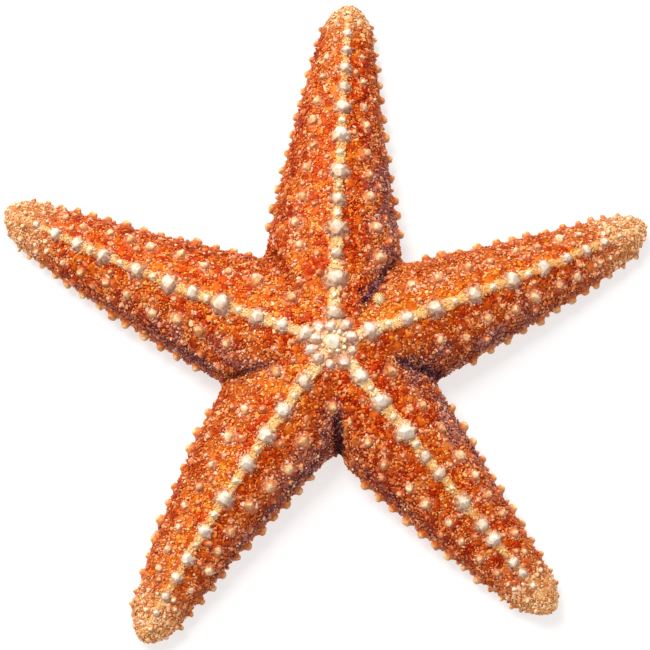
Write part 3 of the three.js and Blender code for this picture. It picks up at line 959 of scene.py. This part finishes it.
def unwrap_grains(mesh, places, mine, unfolded):
    """Each grain's patch lies at its root's place on the unrolled arm: round it and along it."""
    up = places.points[mine, 2] / places.height[mine] - TIP_CORE
    turn = np.arctan2(places.across[mine], up) / (2 * math.pi) + 0.5
    along = np.clip((places.s[mine] + 8) / (places.length[mine] + 10), 0, 1)
    middle = np.stack([0.01 + 0.98 * turn, 0.01 + 0.98 * along], 1)
    corners = middle[:, None, None, :] + PATCH * unfolded[None]
    layer = mesh.uv_layers.new(name="OFBake")
    layer.data.foreach_set("uv", corners.astype(np.float32).ravel())


def coat_pieces(ground, picks):
    """One piece of grains for each arm and its share of the disc."""
    shapes, faces, unfolded = gem_shapes(GRAIN_SHAPES)
    material = coat_material()
    for i in range(len(ARMS)):
        mine = [pick[ground.places.arm[pick] == i] for pick in picks]
        layers = [grain_layer(ground, layer, some, shapes, faces) for layer, some in zip(LAYERS, mine)]
        piece = make_object(f"coat_{i + 1}", *joined([layer[:2] for layer in layers]), smooth=False)
        for name in layers[0][2]:
            carry(piece.data, name, np.concatenate([marks[name] for _, _, marks in layers]))
        unwrap_grains(piece.data, ground.places, np.concatenate(mine), unfolded)
        finish_piece(piece, material, "skin")


# ---- Tubercles, tube feet and spines ----

# Outlines from the top down, as shares of the half-width and rise: round heads on pleated feet, a
# tapering spine, and a tube foot with its sucker.
DOME = [(0.28, 0.97), (0.54, 0.88), (0.76, 0.71), (0.88, 0.52), (0.9, 0.34), (0.92, 0.2), (1.06, 0.06),
        (1.2, -0.25)]
BEAD = [(0.3, 0.98), (0.54, 0.9), (0.7, 0.76), (0.77, 0.6), (0.8, 0.42), (0.92, 0.22), (1.18, 0.02),
        (1.45, -0.2)]
SPINE = [(0.4, 0.96), (0.66, 0.86), (0.8, 0.6), (0.92, 0.3), (1.0, 0.0)]
TUBE_FOOT = [(0.7, 1.03), (1.2, 0.99), (1.28, 0.9), (0.95, 0.8), (0.78, 0.6), (0.9, 0.35), (1.0, 0.0)]

# Sets of shapes: how many, their outline and its sectors, the pleats in the foot and their depth, the
# facets cut off the head, and how rough they are.
Kit = namedtuple("Kit", "count outline sectors pleats depth facets rough")
KITS = {"starry": Kit(10, DOME, 24, 7, 0.15, 16, 0.05), "rounded": Kit(8, DOME, 20, 6, 0.1, 10, 0.05),
        "beads": Kit(8, BEAD, 14, 5, 0.05, 3, 0.05), "tube_feet": Kit(6, TUBE_FOOT, 9, 0, 0.0, 0, 0.04),
        "spines": Kit(6, SPINE, 7, 0, 0.0, 0, 0.05)}
SHARP_KITS, SHARP_ANGLE = ("starry", "rounded"), 22  # whose edges stay sharp from this angle on

# The kinds of tubercles: the width and rise as shares of what its row gives, how far in widths the pale
# collar in the skin reaches, the shapes and the material.
Kind = namedtuple("Kind", "width rise collar kit material")
KINDS = {
    "crest_tubercles": Kind(0.94, 0.5, 0.9, "starry", "crest_knobs"),
    "small_crest_tubercles": Kind(0.45, 0.25, 0.8, "starry", "centre_knobs"),
    "side_tubercles": Kind(1, 0.55, 0.85, "rounded", "side_knobs"),
    "edge_tubercles": Kind(1.3, 1, 0.6, "beads", "edge_knobs"),
    "small_edge_tubercles": Kind(0.55, 0.4, 0.6, "beads", "small_knobs"),
    "lower_edge_tubercles": Kind(0.8, 0.48, 0.6, "beads", "edge_knobs"),
    "disc_ring": Kind(1.2, 0.75, 0.9, "rounded", "disc_beads"),
    "fork_tubercles": Kind(1.1, 1, 0.8, "rounded", "side_knobs"),
    "centre_tubercles": Kind(1, 1, 0.8, "starry", "centre_knobs"),
    "small_tubercles": Kind(1, 0.6, 0.75, "beads", "small_knobs"),
    "tip_tubercles": Kind(1, 0.6, 0.7, "beads", "tip_knobs"),
}

WIDE_GAP = 7.5  # between crest tubercles, where a small one stands
LOWER_EDGE_ACROSS, LOWER_EDGE_UP = 0.95, 0.13
FORK_RISE = 1.7
CENTRE_WIDTH, CENTRE_RISE = 4.6, 2.3
CENTRE_KNOBS, CENTRE_KNOB_WIDTH, CENTRE_KNOB_DISTANCE = 9, 1.5, 2.5
# The small tubercles strewn over the back and at the tips: their gap to others and their spacing.
PIMPLE_GAPS, TIP_GAPS, PIMPLE_WIDTHS = (1.5, 4.8), (0.8, 3.2), (0.9, 1.8)
TUBE_FOOT_PITCH, TUBE_FOOT_WIDTH, TUBE_FOOT_PLACES = 1.6, 0.72, [0.75, -0.75, 1.7, -1.7]
GROOVE_SPINE_PITCH, GROOVE_SPINE_WIDTH, GROOVE_SPINE_LENGTH = 1.25, 0.5, 1.8
# The two rows of spines on a groove's lip: how far on along the arm, out from the groove and up they
# stand, how they lean to that side and up, and their share of the length.
LIP_ROWS = [(0.0, 0.35, 0.35, -1, -0.12, 1.0), (0.6, 0.9, 0.25, 1, -0.1, 0.75)]
FLOOR_GAP = 0.25  # kept below the ends of tube feet and spines
MOUTH_SPINES, MOUTH_SPINE_WIDTH, MOUTH_SPINE_LENGTH = 5, 0.62, 2.6  # at each corner of the mouth


def knob_shapes(kit):
    """Blunt knobs, one unit in radius and height, with facets cut off the head and pleats in the foot."""
    turns, shapes = all_round(kit.sectors), []
    for _ in range(kit.count):
        phase = rng.uniform(0, 2 * math.pi)
        folds = np.cos(kit.pleats * turns + phase) + 0.5 * rng.normal(0, 1, kit.sectors)
        lumps = 1 + kit.rough * np.cos(2 * turns + phase) + kit.rough * np.cos(3 * turns - phase)
        rings = []
        for radius, height in kit.outline:
            pleated = 1 + kit.depth * smoothstep(0.4, 0.1, height) * folds
            rings.append(circle(radius * lumps * pleated, turns, height))
        shape, faces = loft(rings, (0, 0, 1), (0, 0, -0.6))
        shape += rng.normal(0, 0.4 * kit.rough, shape.shape)
        for _ in range(kit.facets):
            normal = rng.normal(0, 1, 3) * (1, 1, 0.7) + (0, 0, 0.5)
            normal /= np.linalg.norm(normal)
            beyond = shape @ normal - rng.uniform(0.74, 0.88)
            shape -= np.where((beyond > 0) & (shape[:, 2] > 0.3), beyond, 0)[:, None] * normal
        shapes.append(shape)
    return np.array(shapes), faces[:, [0, 2, 1]]  # turned round, as the rings run down from the top


class Knobs:
    """Tubercles, feet or spines to be made as one piece."""

    def __init__(self, surface, kind):
        self.surface, self.kind, self.rows = surface, kind, []

    def put(self, foot, axis, width, rise):
        """A knob at an exact place."""
        axis = np.asarray(axis, float)
        self.rows.append((np.asarray(foot, float), axis / np.linalg.norm(axis), width, rise))

    def add(self, place, axis, width, rise=None):
        """A knob on the skin where it is nearest to place, that stands along axis (None: out of the skin)
        and has its kind's shares of a width and of a rise (None: of the width)."""
        at, normal, _, _ = self.surface.find_nearest(in_row(place))
        rise = width if rise is None else rise
        self.put(np.array(at) / MM - TO_ROW, normal if axis is None else axis,
                 self.kind.width * width, self.kind.rise * rise)

    def make(self, name, shapes, faces, material, slot="ossicle"):
        feet, axes, widths, rises = (np.array(column, float) for column in zip(*self.rows))
        frames = axes_for(axes, rng.uniform(0, 2 * math.pi, len(feet)))
        choice = rng.integers(0, len(shapes), len(feet))
        sizes = np.stack([widths / 2, widths / 2, rises], 1)
        piece = make_object(name, *stamped(shapes, faces, choice, feet, frames, sizes))
        if self.kind.kit in SHARP_KITS:
            piece.data.set_sharp_from_angle(angle=math.radians(SHARP_ANGLE))
        carry(piece.data, "up", np.clip(shapes[choice][:, :, 2], 0, 1).ravel())
        carry(piece.data, "tone", np.repeat(rng.random(len(feet)), shapes.shape[1]))
        # Painted shade on the sides turned from the key light.
        carry(piece.data, "shade", smoothstep(0.0, 0.85, read_normals(piece.data) @ AWAY_FROM_LIGHT))
        finish_piece(piece, material, slot)


def outward(arm, s, across):
    """The way that the back looks at a place."""
    step, side_step = 0.5, 0.04
    along = on_back(arm, s + step, across) - on_back(arm, s - step, across)
    over = on_back(arm, s, across + side_step) - on_back(arm, s, across - side_step)
    normal = np.cross(along, over)
    return normal / np.linalg.norm(normal)


def off_tip(arm, s):
    """0 near the tip of an arm, 1 well before it."""
    return smoothstep(6, 24, arm.length - s)


def places_in(row, seed):
    """The places of a row on both sides of every arm: the arm's number and the arm, the side, the way out
    along the arm, the count, and the width of a tubercle there, which dwindles towards the tip."""
    for n, arm in enumerate(ARMS):
        for side in (1, -1):
            start = seed + 2 * n + side
            s, i = row.first + 0.5 * row.pitch * scatter(start, 1), 0
            while s < arm.length - row.from_tip:
                width = row.width - row.width_fall * s / arm.length
                yield n, arm, side, s, i, width * (0.6 + 0.4 * off_tip(arm, s))
                s += (row.pitch - row.pitch_fall * s / arm.length) * vary(0.18, start, i + 2)
                i += 1


def add_carinals(main, minors):
    """The tubercles of each crest, and a small one in each wide gap between them."""
    for arm in ARMS:
        for s, width in arm.carinal:
            main.add(on_back(arm, s, 0.0), outward(arm, s, 0.0), width)
        for (s, width), (after, _) in zip(arm.carinal, arm.carinal[1:]):
            middle = (s + after) / 2
            if after - s > WIDE_GAP:
                minors.add(on_back(arm, middle, 0.0), outward(arm, middle, 0.0), width)


def add_laterals(knobs):
    for n, arm, side, s, i, width in places_in(LATERAL, 0):
        across = side * (LATERAL_SHARE + LATERAL_SPREAD * (2 * scatter(i, n + side) - 1))
        knobs.add(on_back(arm, s, across), outward(arm, s, across), width * vary(0.2, i, 3 * n + side))


def add_marginals(beads, bumps):
    """The row of beads along each edge, with a smaller one between most of them."""
    for n, arm, side, s, i, width in places_in(MARGINAL, 20):
        sideways = offset(arm.azimuth, 0.0, side, MARGINAL_SLANT)
        width *= vary(0.15, i, n - side)
        rise = width * (1.15 - 0.37 * off_tip(arm, s))
        beads.add(skin_point(arm, s, side, MARGINAL_UP), sideways, width, rise)
        between = s + 0.5 * MARGINAL.pitch * vary(0.2, i, n)
        if scatter(i, 3 * n + side) > 0.2 and between < arm.length - MARGINAL.from_tip:
            up = MARGINAL_UP + 0.1 * (2 * scatter(i, n + 60) - 1)
            bumps.add(skin_point(arm, between, side, up), None, width)


def add_lower_edges(knobs):
    """The lower row along each edge, turned down beside the underside."""
    for n, arm, side, s, i, width in places_in(MARGINAL, 40):
        foot = skin_point(arm, s, LOWER_EDGE_ACROSS * side, LOWER_EDGE_UP)
        knobs.add(foot, None, width * vary(0.2, i, n), width)


def add_disc_knobs(ring, forks, cluster):
    """The ring on the disc, those in the forks between arms, and the huddle in the middle."""
    for i, (azimuth, distance) in enumerate(RING):
        ring.add(on_disc(azimuth, distance), None, RING_WIDTH * vary(0.15, i, 40))
    for i, turn in enumerate(INTERRADIAL_TURNS):
        foot = on_disc(bisector(i + 1) + turn, INTERRADIAL_DISTANCE)
        forks.add(foot, None, INTERRADIAL_WIDTH, FORK_RISE)
    cluster.add(on_disc(0, 0), None, CENTRE_WIDTH, CENTRE_RISE)
    for i in range(CENTRE_KNOBS):
        azimuth = 360 / CENTRE_KNOBS * (i + 0.5 * scatter(i, 8))
        width = CENTRE_KNOB_WIDTH * vary(0.25, i, 8)
        foot = on_disc(azimuth, CENTRE_KNOB_DISTANCE * vary(0.12, i, 50))
        cluster.add(foot, offset(azimuth, 0.5, 0.0, 1.0), width, 0.9 * width)


def add_pimples(pimples, pale, places, points, taken):
    """Small tubercles strewn over the back between the rows, closer together and pale at the tips."""
    keep_clear = tree_of([foot for foot, _, _ in taken])
    across = np.abs(places.across)
    open_back = (across < 0.9) & (across > 0.12) & (places.crease() < 0.3) & (places.under() < 0.1)
    open_back &= (places.s > 7) & (places.to_tip > 2.5)
    at_tip, chosen = places.tip() > 0.35, []
    for i in rng.permutation(np.flatnonzero(open_back)):
        gap, spacing = TIP_GAPS if at_tip[i] else PIMPLE_GAPS
        point = Vector(points[i])
        _, near, distance = keep_clear.find(point)
        if distance < 0.5 * taken[near][1] + gap:
            continue
        if all((point - other).length > spacing for other in chosen):
            chosen.append(point)
            (pale if at_tip[i] else pimples).add(point, None, rng.uniform(*PIMPLE_WIDTHS))


def add_tube_feet(feet):
    """Four zigzag rows that hang in each groove and end above the floor."""
    for n, arm in enumerate(ARMS):
        stops = np.arange(MOUTH_RADIUS + 1.5, arm.length - GROOVE_TO_TIP - 1.5, TUBE_FOOT_PITCH)
        for i, s in enumerate(stops):
            for k, place in enumerate(TUBE_FOOT_PLACES):
                at = s + TUBE_FOOT_PITCH * (0.5 * (k % 2) + 0.25 * (k // 2))
                size = groove_size(arm, at)
                root = arm_point(arm, at, place * size, GROOVE_DEPTH * size + lift(arm, at) + 0.2)
                hang = (root[2] - FLOOR_GAP - lift(arm, at)) * (0.78 + 0.2 * scatter(i, n + 7 * k))
                lean = offset(arm.azimuth, 0.3 * (scatter(i, k + 9 * n) - 0.5),
                              0.08 * place + 0.2 * (scatter(i, k - n) - 0.5), -1.0)
                feet.put(root, lean, TUBE_FOOT_WIDTH * (0.5 + 0.5 * size), hang)


def add_groove_spines(spines):
    """Two rows on each lip of each groove: one leans over it and one away from it."""
    for n, arm in enumerate(ARMS):
        for i, s in enumerate(np.arange(MOUTH_RADIUS + 1.0, arm.length - 3.0, GROOVE_SPINE_PITCH)):
            size = groove_size(arm, min(s, arm.length - GROOVE_TO_TIP))
            for side in (1, -1):
                length = GROOVE_SPINE_LENGTH * (0.45 + 0.55 * size) * vary(0.2, i, n + side)
                slant = 0.5 * (scatter(i, n - side) - 0.5)
                for on, out, up, lean, rise, share in LIP_ROWS:
                    foot = arm_point(arm, s + on, side * (GROOVE_HALF_WIDTH + out) * size,
                                     FLOOR_GAP + lift(arm, s) + up)
                    axis = offset(arm.azimuth, slant, lean * side, rise)
                    spines.put(foot, axis, GROOVE_SPINE_WIDTH, share * length)


def add_mouth_spines(spines):
    """Fans of spines at the corners between the grooves that close over the mouth."""
    for n in range(len(ARMS)):
        for k in range(MOUTH_SPINES):
            fan = k - (MOUTH_SPINES - 1) / 2
            root = offset(bisector(n) + 8 * fan, MOUTH_RADIUS + 0.5, 0.0, 0.75)
            inward = -offset(bisector(n) - 6 * fan, 1.0, 0.0, 0.1)
            spines.put(root, inward, MOUTH_SPINE_WIDTH, MOUTH_SPINE_LENGTH - 0.3 * abs(fan))


# The materials of knobs: a palette from foot to top, the colour of the mottle and its share, and the colour
# of the painted shade on the side turned from the light. A palette's darker foot and paler top are partly
# the knobs' own colour, partly painted shade and painted highlight.
KNOB_STOPS = (0.0, 0.3, 0.65, 1.0)
BROWN, OCHRE, GREY = (166, 92, 50), (150, 76, 30), (162, 124, 120)
KNOB_MATERIALS = {
    "crest_knobs": ([(184, 118, 76), (230, 186, 142), (247, 228, 202), (252, 242, 228)],
                    (224, 196, 180), 0.5, GREY),
    "side_knobs": ([(190, 86, 36), (220, 130, 68), (240, 180, 116), (253, 232, 196)],
                   (222, 150, 108), 0.6, BROWN),
    "edge_knobs": ([(180, 66, 20), (214, 112, 44), (238, 168, 98), (253, 225, 178)],
                   (214, 120, 62), 0.5, OCHRE),
    "disc_beads": ([(204, 130, 94), (234, 186, 152), (249, 227, 202), (255, 250, 238)],
                   (212, 166, 156), 0.6, GREY),
    "centre_knobs": ([(216, 150, 92), (240, 204, 150), (251, 234, 200), (255, 250, 234)],
                     (240, 204, 160), 0.6, GREY),
    "small_knobs": ([(190, 70, 22), (212, 98, 40), (232, 138, 78), (248, 194, 140)],
                    (220, 126, 84), 0.6, BROWN),
    "tip_knobs": ([(188, 104, 52), (220, 146, 88), (242, 190, 134), (254, 228, 184)],
                  (226, 160, 104), 0.6, BROWN),
    "tube_feet": ([(224, 150, 92), (238, 182, 122), (247, 208, 156), (252, 226, 186)],
                  (244, 206, 160), 0.4, (224, 160, 104)),
    "groove_spines": ([(226, 160, 106), (244, 206, 156), (252, 232, 198), (255, 247, 230)],
                      (240, 200, 160), 0.4, (226, 176, 126)),
}


def knob_material(name):
    """Pale limy knobs, mottled, with painted shade on the sides turned from the key light, as on the skin.
    """
    palette, mottle, share, shade_colour = KNOB_MATERIALS[name]
    shading = Shading(name, roughness=0.4, specular=0.25)
    tone = shading.mapped(shading.attribute("tone"), 0, 1, -0.15, 0.15)
    place = shading.clouded(shading.math("ADD", shading.attribute("up"), tone), 0.7, -0.22, 0.22)
    patches = shading.mapped(shading.noise(0.9), 0.5, 0.62, 0.0, share)
    colour = shading.mix(patches, shading.ramp(place, KNOB_STOPS, palette), paint(*mottle))
    shadow = shading.math("MULTIPLY", shading.attribute("shade"), 0.52)
    shading.bump(shading.noise(0.5, 2.0, 0.5), 0.2)
    return shading.finish(shading.mix(shadow, colour, paint(*shade_colour)))


def collars_of(knobs):
    """The foot and width of every tubercle, and how far in widths its pale collar reaches."""
    return [(foot, width, some.kind.collar) for some in knobs.values() for foot, _, width, _ in some.rows]


def tubercles(surface, skin, places):
    """All the tubercles of the back, sides and edges, a piece for each kind."""
    knobs = {name: Knobs(surface, kind) for name, kind in KINDS.items()}
    crest, minors, sides, edges, bumps, lower, ring, forks, cluster, pimples, pale = knobs.values()
    add_carinals(crest, minors)
    add_laterals(sides)
    add_marginals(edges, bumps)
    add_lower_edges(lower)
    add_disc_knobs(ring, forks, cluster)
    add_pimples(pimples, pale, places, read_points(skin.data), collars_of(knobs))
    shapes = {name: knob_shapes(KITS[name]) for name in ("starry", "rounded", "beads")}
    materials = {name: knob_material(name) for name in sorted({kind.material for kind in KINDS.values()})}
    for name, kind in KINDS.items():
        knobs[name].make(name, *shapes[kind.kit], materials[kind.material])
    return knobs


def feet_and_spines(surface):
    """The tube feet in the grooves, and the spines beside the grooves and round the mouth."""
    feet, spines = (Knobs(surface, Kind(1, 1, 0, kit, None)) for kit in ("tube_feet", "spines"))
    add_tube_feet(feet)
    add_groove_spines(spines)
    add_mouth_spines(spines)
    feet.make("tube_feet", *knob_shapes(KITS["tube_feet"]), knob_material("tube_feet"), "soft_tissue")
    spines.make("groove_spines", *knob_shapes(KITS["spines"]), knob_material("groove_spines"))


# ---- Sieve plate, eyespots and mouth ----

# Their looks: a palette from the lowest points to the highest, the roughness and gloss, and the size of
# the clouds in the colour and how much they lighten it.
Look = namedtuple("Look", "palette roughness gloss cloud lighter")
SIEVE = Look([(188, 116, 62), (226, 166, 98), (246, 214, 150), (255, 242, 210)], 0.45, 0.25, 0.5, 0.15)
EYE = Look([(110, 8, 4), (150, 14, 8), (186, 26, 16), (214, 52, 36)], 0.3, 0.7, 0.6, 0.2)
MEMBRANE = Look([(240, 190, 138), (226, 158, 104), (200, 118, 74), (84, 34, 22)], 0.5, 0.5, 0.6, 0.2)

SIEVE_ROOT, SIEVE_RISE, SIEVE_SECTORS = 0.8, 1.15, 56
SIEVE_FURROWS, SIEVE_FURROW_DEPTH = 14, 0.2
MEMBRANE_PROFILE = [(0.55, 2.85), (0.8, 2.3), (1.0, 1.7), (1.3, 1.35), (1.8, 1.2), (2.5, 1.2), (3.3, 1.3),
                    (4.2, 1.5), (5.2, 1.85), (5.2, 3.0)]
MEMBRANE_SECTORS, PLEATS, PLEAT_DEPTH = 80, 20, 0.13


def height_share(points):
    """How high points lie between the lowest (0) and the highest (1)."""
    z = points[:, 2]
    return (z - z.min()) / (z.max() - z.min())


def small_piece(name, points, faces, height, look, slot, node):
    """A separate small piece, coloured by how high each point counts, from 0 to 1."""
    piece = make_object(name, points, faces)
    carry(piece.data, "height", height)
    shading = Shading(name, look.roughness, look.gloss)
    place = shading.clouded(shading.attribute("height"), look.cloud, -0.2, look.lighter)
    finish_piece(piece, shading.finish(shading.ramp(place, KNOB_STOPS, look.palette)), slot, node)


def sieve_plate(surface):
    """A low button with fine wavy furrows that run out from its middle."""
    place = on_disc(MADREPORITE_AZIMUTH, MADREPORITE_DISTANCE)
    normal = np.array(surface.find_nearest(in_row(place))[1])
    shares, turns = np.linspace(0.06, 1.0, 13)[::-1], all_round(SIEVE_SECTORS)
    dome = [(MADREPORITE_RADIUS * share, SIEVE_RISE * math.sqrt(1 - 0.86 * share ** 2)) for share in shares]
    rings = turned([(MADREPORITE_RADIUS, -SIEVE_ROOT), *dome], SIEVE_SECTORS)
    for ring, share in zip(rings[1:], shares):
        furrow = np.cos(SIEVE_FURROWS * turns + 1.6 * np.sin(9 * share)) * smoothstep(0.1, 0.45, share)
        ring[:, 2] += SIEVE_FURROW_DEPTH * furrow
    points, faces = loft(rings, (0, 0, -SIEVE_ROOT), (0, 0, SIEVE_RISE))
    stood = points @ axes_for(normal[None], np.zeros(1))[0].T + (place - COAT_DEPTH * normal)
    height = smoothstep(0.4, 1.3, points[:, 2])
    small_piece("sieve_plate", stood, faces, height, SIEVE, "ossicle", "madreporite")


def eyespots():
    """The red cushion under the end of each arm, of small bumps set close."""
    profile = [(EYESPOT_RADIUS * math.sin(a), -EYESPOT_RADIUS * math.cos(a))
               for a in np.linspace(0.2, math.pi - 0.2, 13)]
    ball, faces = loft(turned(profile, 24), (0, 0, -EYESPOT_RADIUS), (0, 0, EYESPOT_RADIUS))
    ball *= 1 + 0.07 * np.prod(np.cos(9 * ball), axis=1, keepdims=True)
    for i, arm in enumerate(ARMS):
        points = ball + arm_point(arm, arm.length - EYESPOT_FROM_TIP, 0.0, EYESPOT_HEIGHT)
        small_piece(f"eyespot_cushion_{i + 1}", points, faces, height_share(points), EYE, "eyespot",
                    f"eyespot_{i + 1}")


def mouth():
    """The pleated membrane round the mouth's opening, which faces the floor."""
    rings, turns = turned(MEMBRANE_PROFILE, MEMBRANE_SECTORS), all_round(MEMBRANE_SECTORS)
    for ring, (r, _) in zip(rings, MEMBRANE_PROFILE):
        pleats = np.cos(PLEATS * turns + 0.5 * np.sin(3 * turns)) * smoothstep(0.6, 1.5, r) * (r < 5)
        ring[:, 2] += PLEAT_DEPTH * pleats
    points, faces = loft(rings, (0, 0, 2.9), (0, 0, 3.05))
    small_piece("mouth_membrane", points, faces, height_share(points), MEMBRANE, "soft_tissue", "mouth")


# ---- The scene ----

FLOOR_SIZE, FLOOR_GLOW, FLOOR_GREYS = 6, 0.6, [(176, 176, 177), (180, 180, 181)]
# Each light: its name, its place and size in metres, its power and its colour.
LIGHTS = [("key", (-0.42, 0.62, 0.80), 0.7, 13.0, (1.0, 0.98, 0.94)),
          ("fill", (0.7, -0.6, 0.6), 0.8, 1.8, (1.0, 0.94, 0.92))]
SKY_STRENGTH = 0.5
CAMERA_ELEVATION, CAMERA_DISTANCE, CAMERA_LENS = 77.0, 0.609375, 135.0  # in degrees, metres and mm
CAMERA_TARGET = np.array([-1.995, 7.165, 4.0])  # in millimetres from the middle of the disc


def floor():
    bpy.ops.mesh.primitive_plane_add(size=FLOOR_SIZE)
    plane = bpy.context.object
    plane.name = "floor"
    shading = Shading("floor_white", roughness=0.9, specular=0.1)
    shading.put(shading.shader, {"Emission Color": (1, 1, 1, 1), "Emission Strength": FLOOR_GLOW})
    greys = shading.ramp(shading.noise(400.0, 2.0, 0.5), (0.0, 1.0), FLOOR_GREYS)
    plane.data.materials.append(shading.finish(greys))


def aimed(name, data, place, way):
    """A light or camera in the scene, at a place in metres, that looks a way."""
    made = bpy.data.objects.new(name, data)
    made.location = place
    made.rotation_euler = way.to_track_quat("-Z", "Y").to_euler()
    bpy.context.scene.collection.objects.link(made)
    return made


def lights():
    for name, place, size, power, colour in LIGHTS:
        data = bpy.data.lights.new(name, "AREA")
        data.size, data.energy, data.color = size, power, colour
        aimed(name, data, place, -Vector(place))
    world = bpy.data.worlds.new("studio")
    bpy.context.scene.world = world
    world.use_nodes = True
    world.node_tree.nodes["Background"].inputs["Color"].default_value = (1, 1, 1, 1)
    world.node_tree.nodes["Background"].inputs["Strength"].default_value = SKY_STRENGTH
    bpy.context.scene.view_settings.view_transform = "Standard"


def camera():
    elevation = math.radians(CAMERA_ELEVATION)
    towards = Vector((0, math.cos(elevation), -math.sin(elevation)))
    data = bpy.data.cameras.new("camera")
    data.lens = CAMERA_LENS
    place = in_row(CAMERA_TARGET) - CAMERA_DISTANCE * towards
    bpy.context.scene.camera = aimed("camera", data, place, towards)


def build():
    camera()
    skin, places, cells = make_skin()
    surface = BVHTree.FromObject(skin, bpy.context.evaluated_depsgraph_get())
    knobs = tubercles(surface, skin, places)
    feet_and_spines(surface)
    sieve_plate(surface)
    eyespots()
    mouth()

    ground = Ground(skin, cells, collars_of(knobs))
    for name, values in ground.marks.items():
        carry(skin.data, name, values[:len(cells)])
    flesh = ["disc"] + [f"{part}_{i + 1}" for part in ("arm", "arm_tip") for i in range(len(ARMS))]
    finish_piece(skin, skin_material(), "skin", *flesh)

    picks = [ground.pick(layer) for layer in LAYERS[:-1]]
    ringed = knobs["crest_tubercles"].rows + knobs["small_crest_tubercles"].rows
    coat_pieces(ground, [*picks, ground.wreaths(LAYERS[-1], ringed)])
    floor()
    lights()


build()
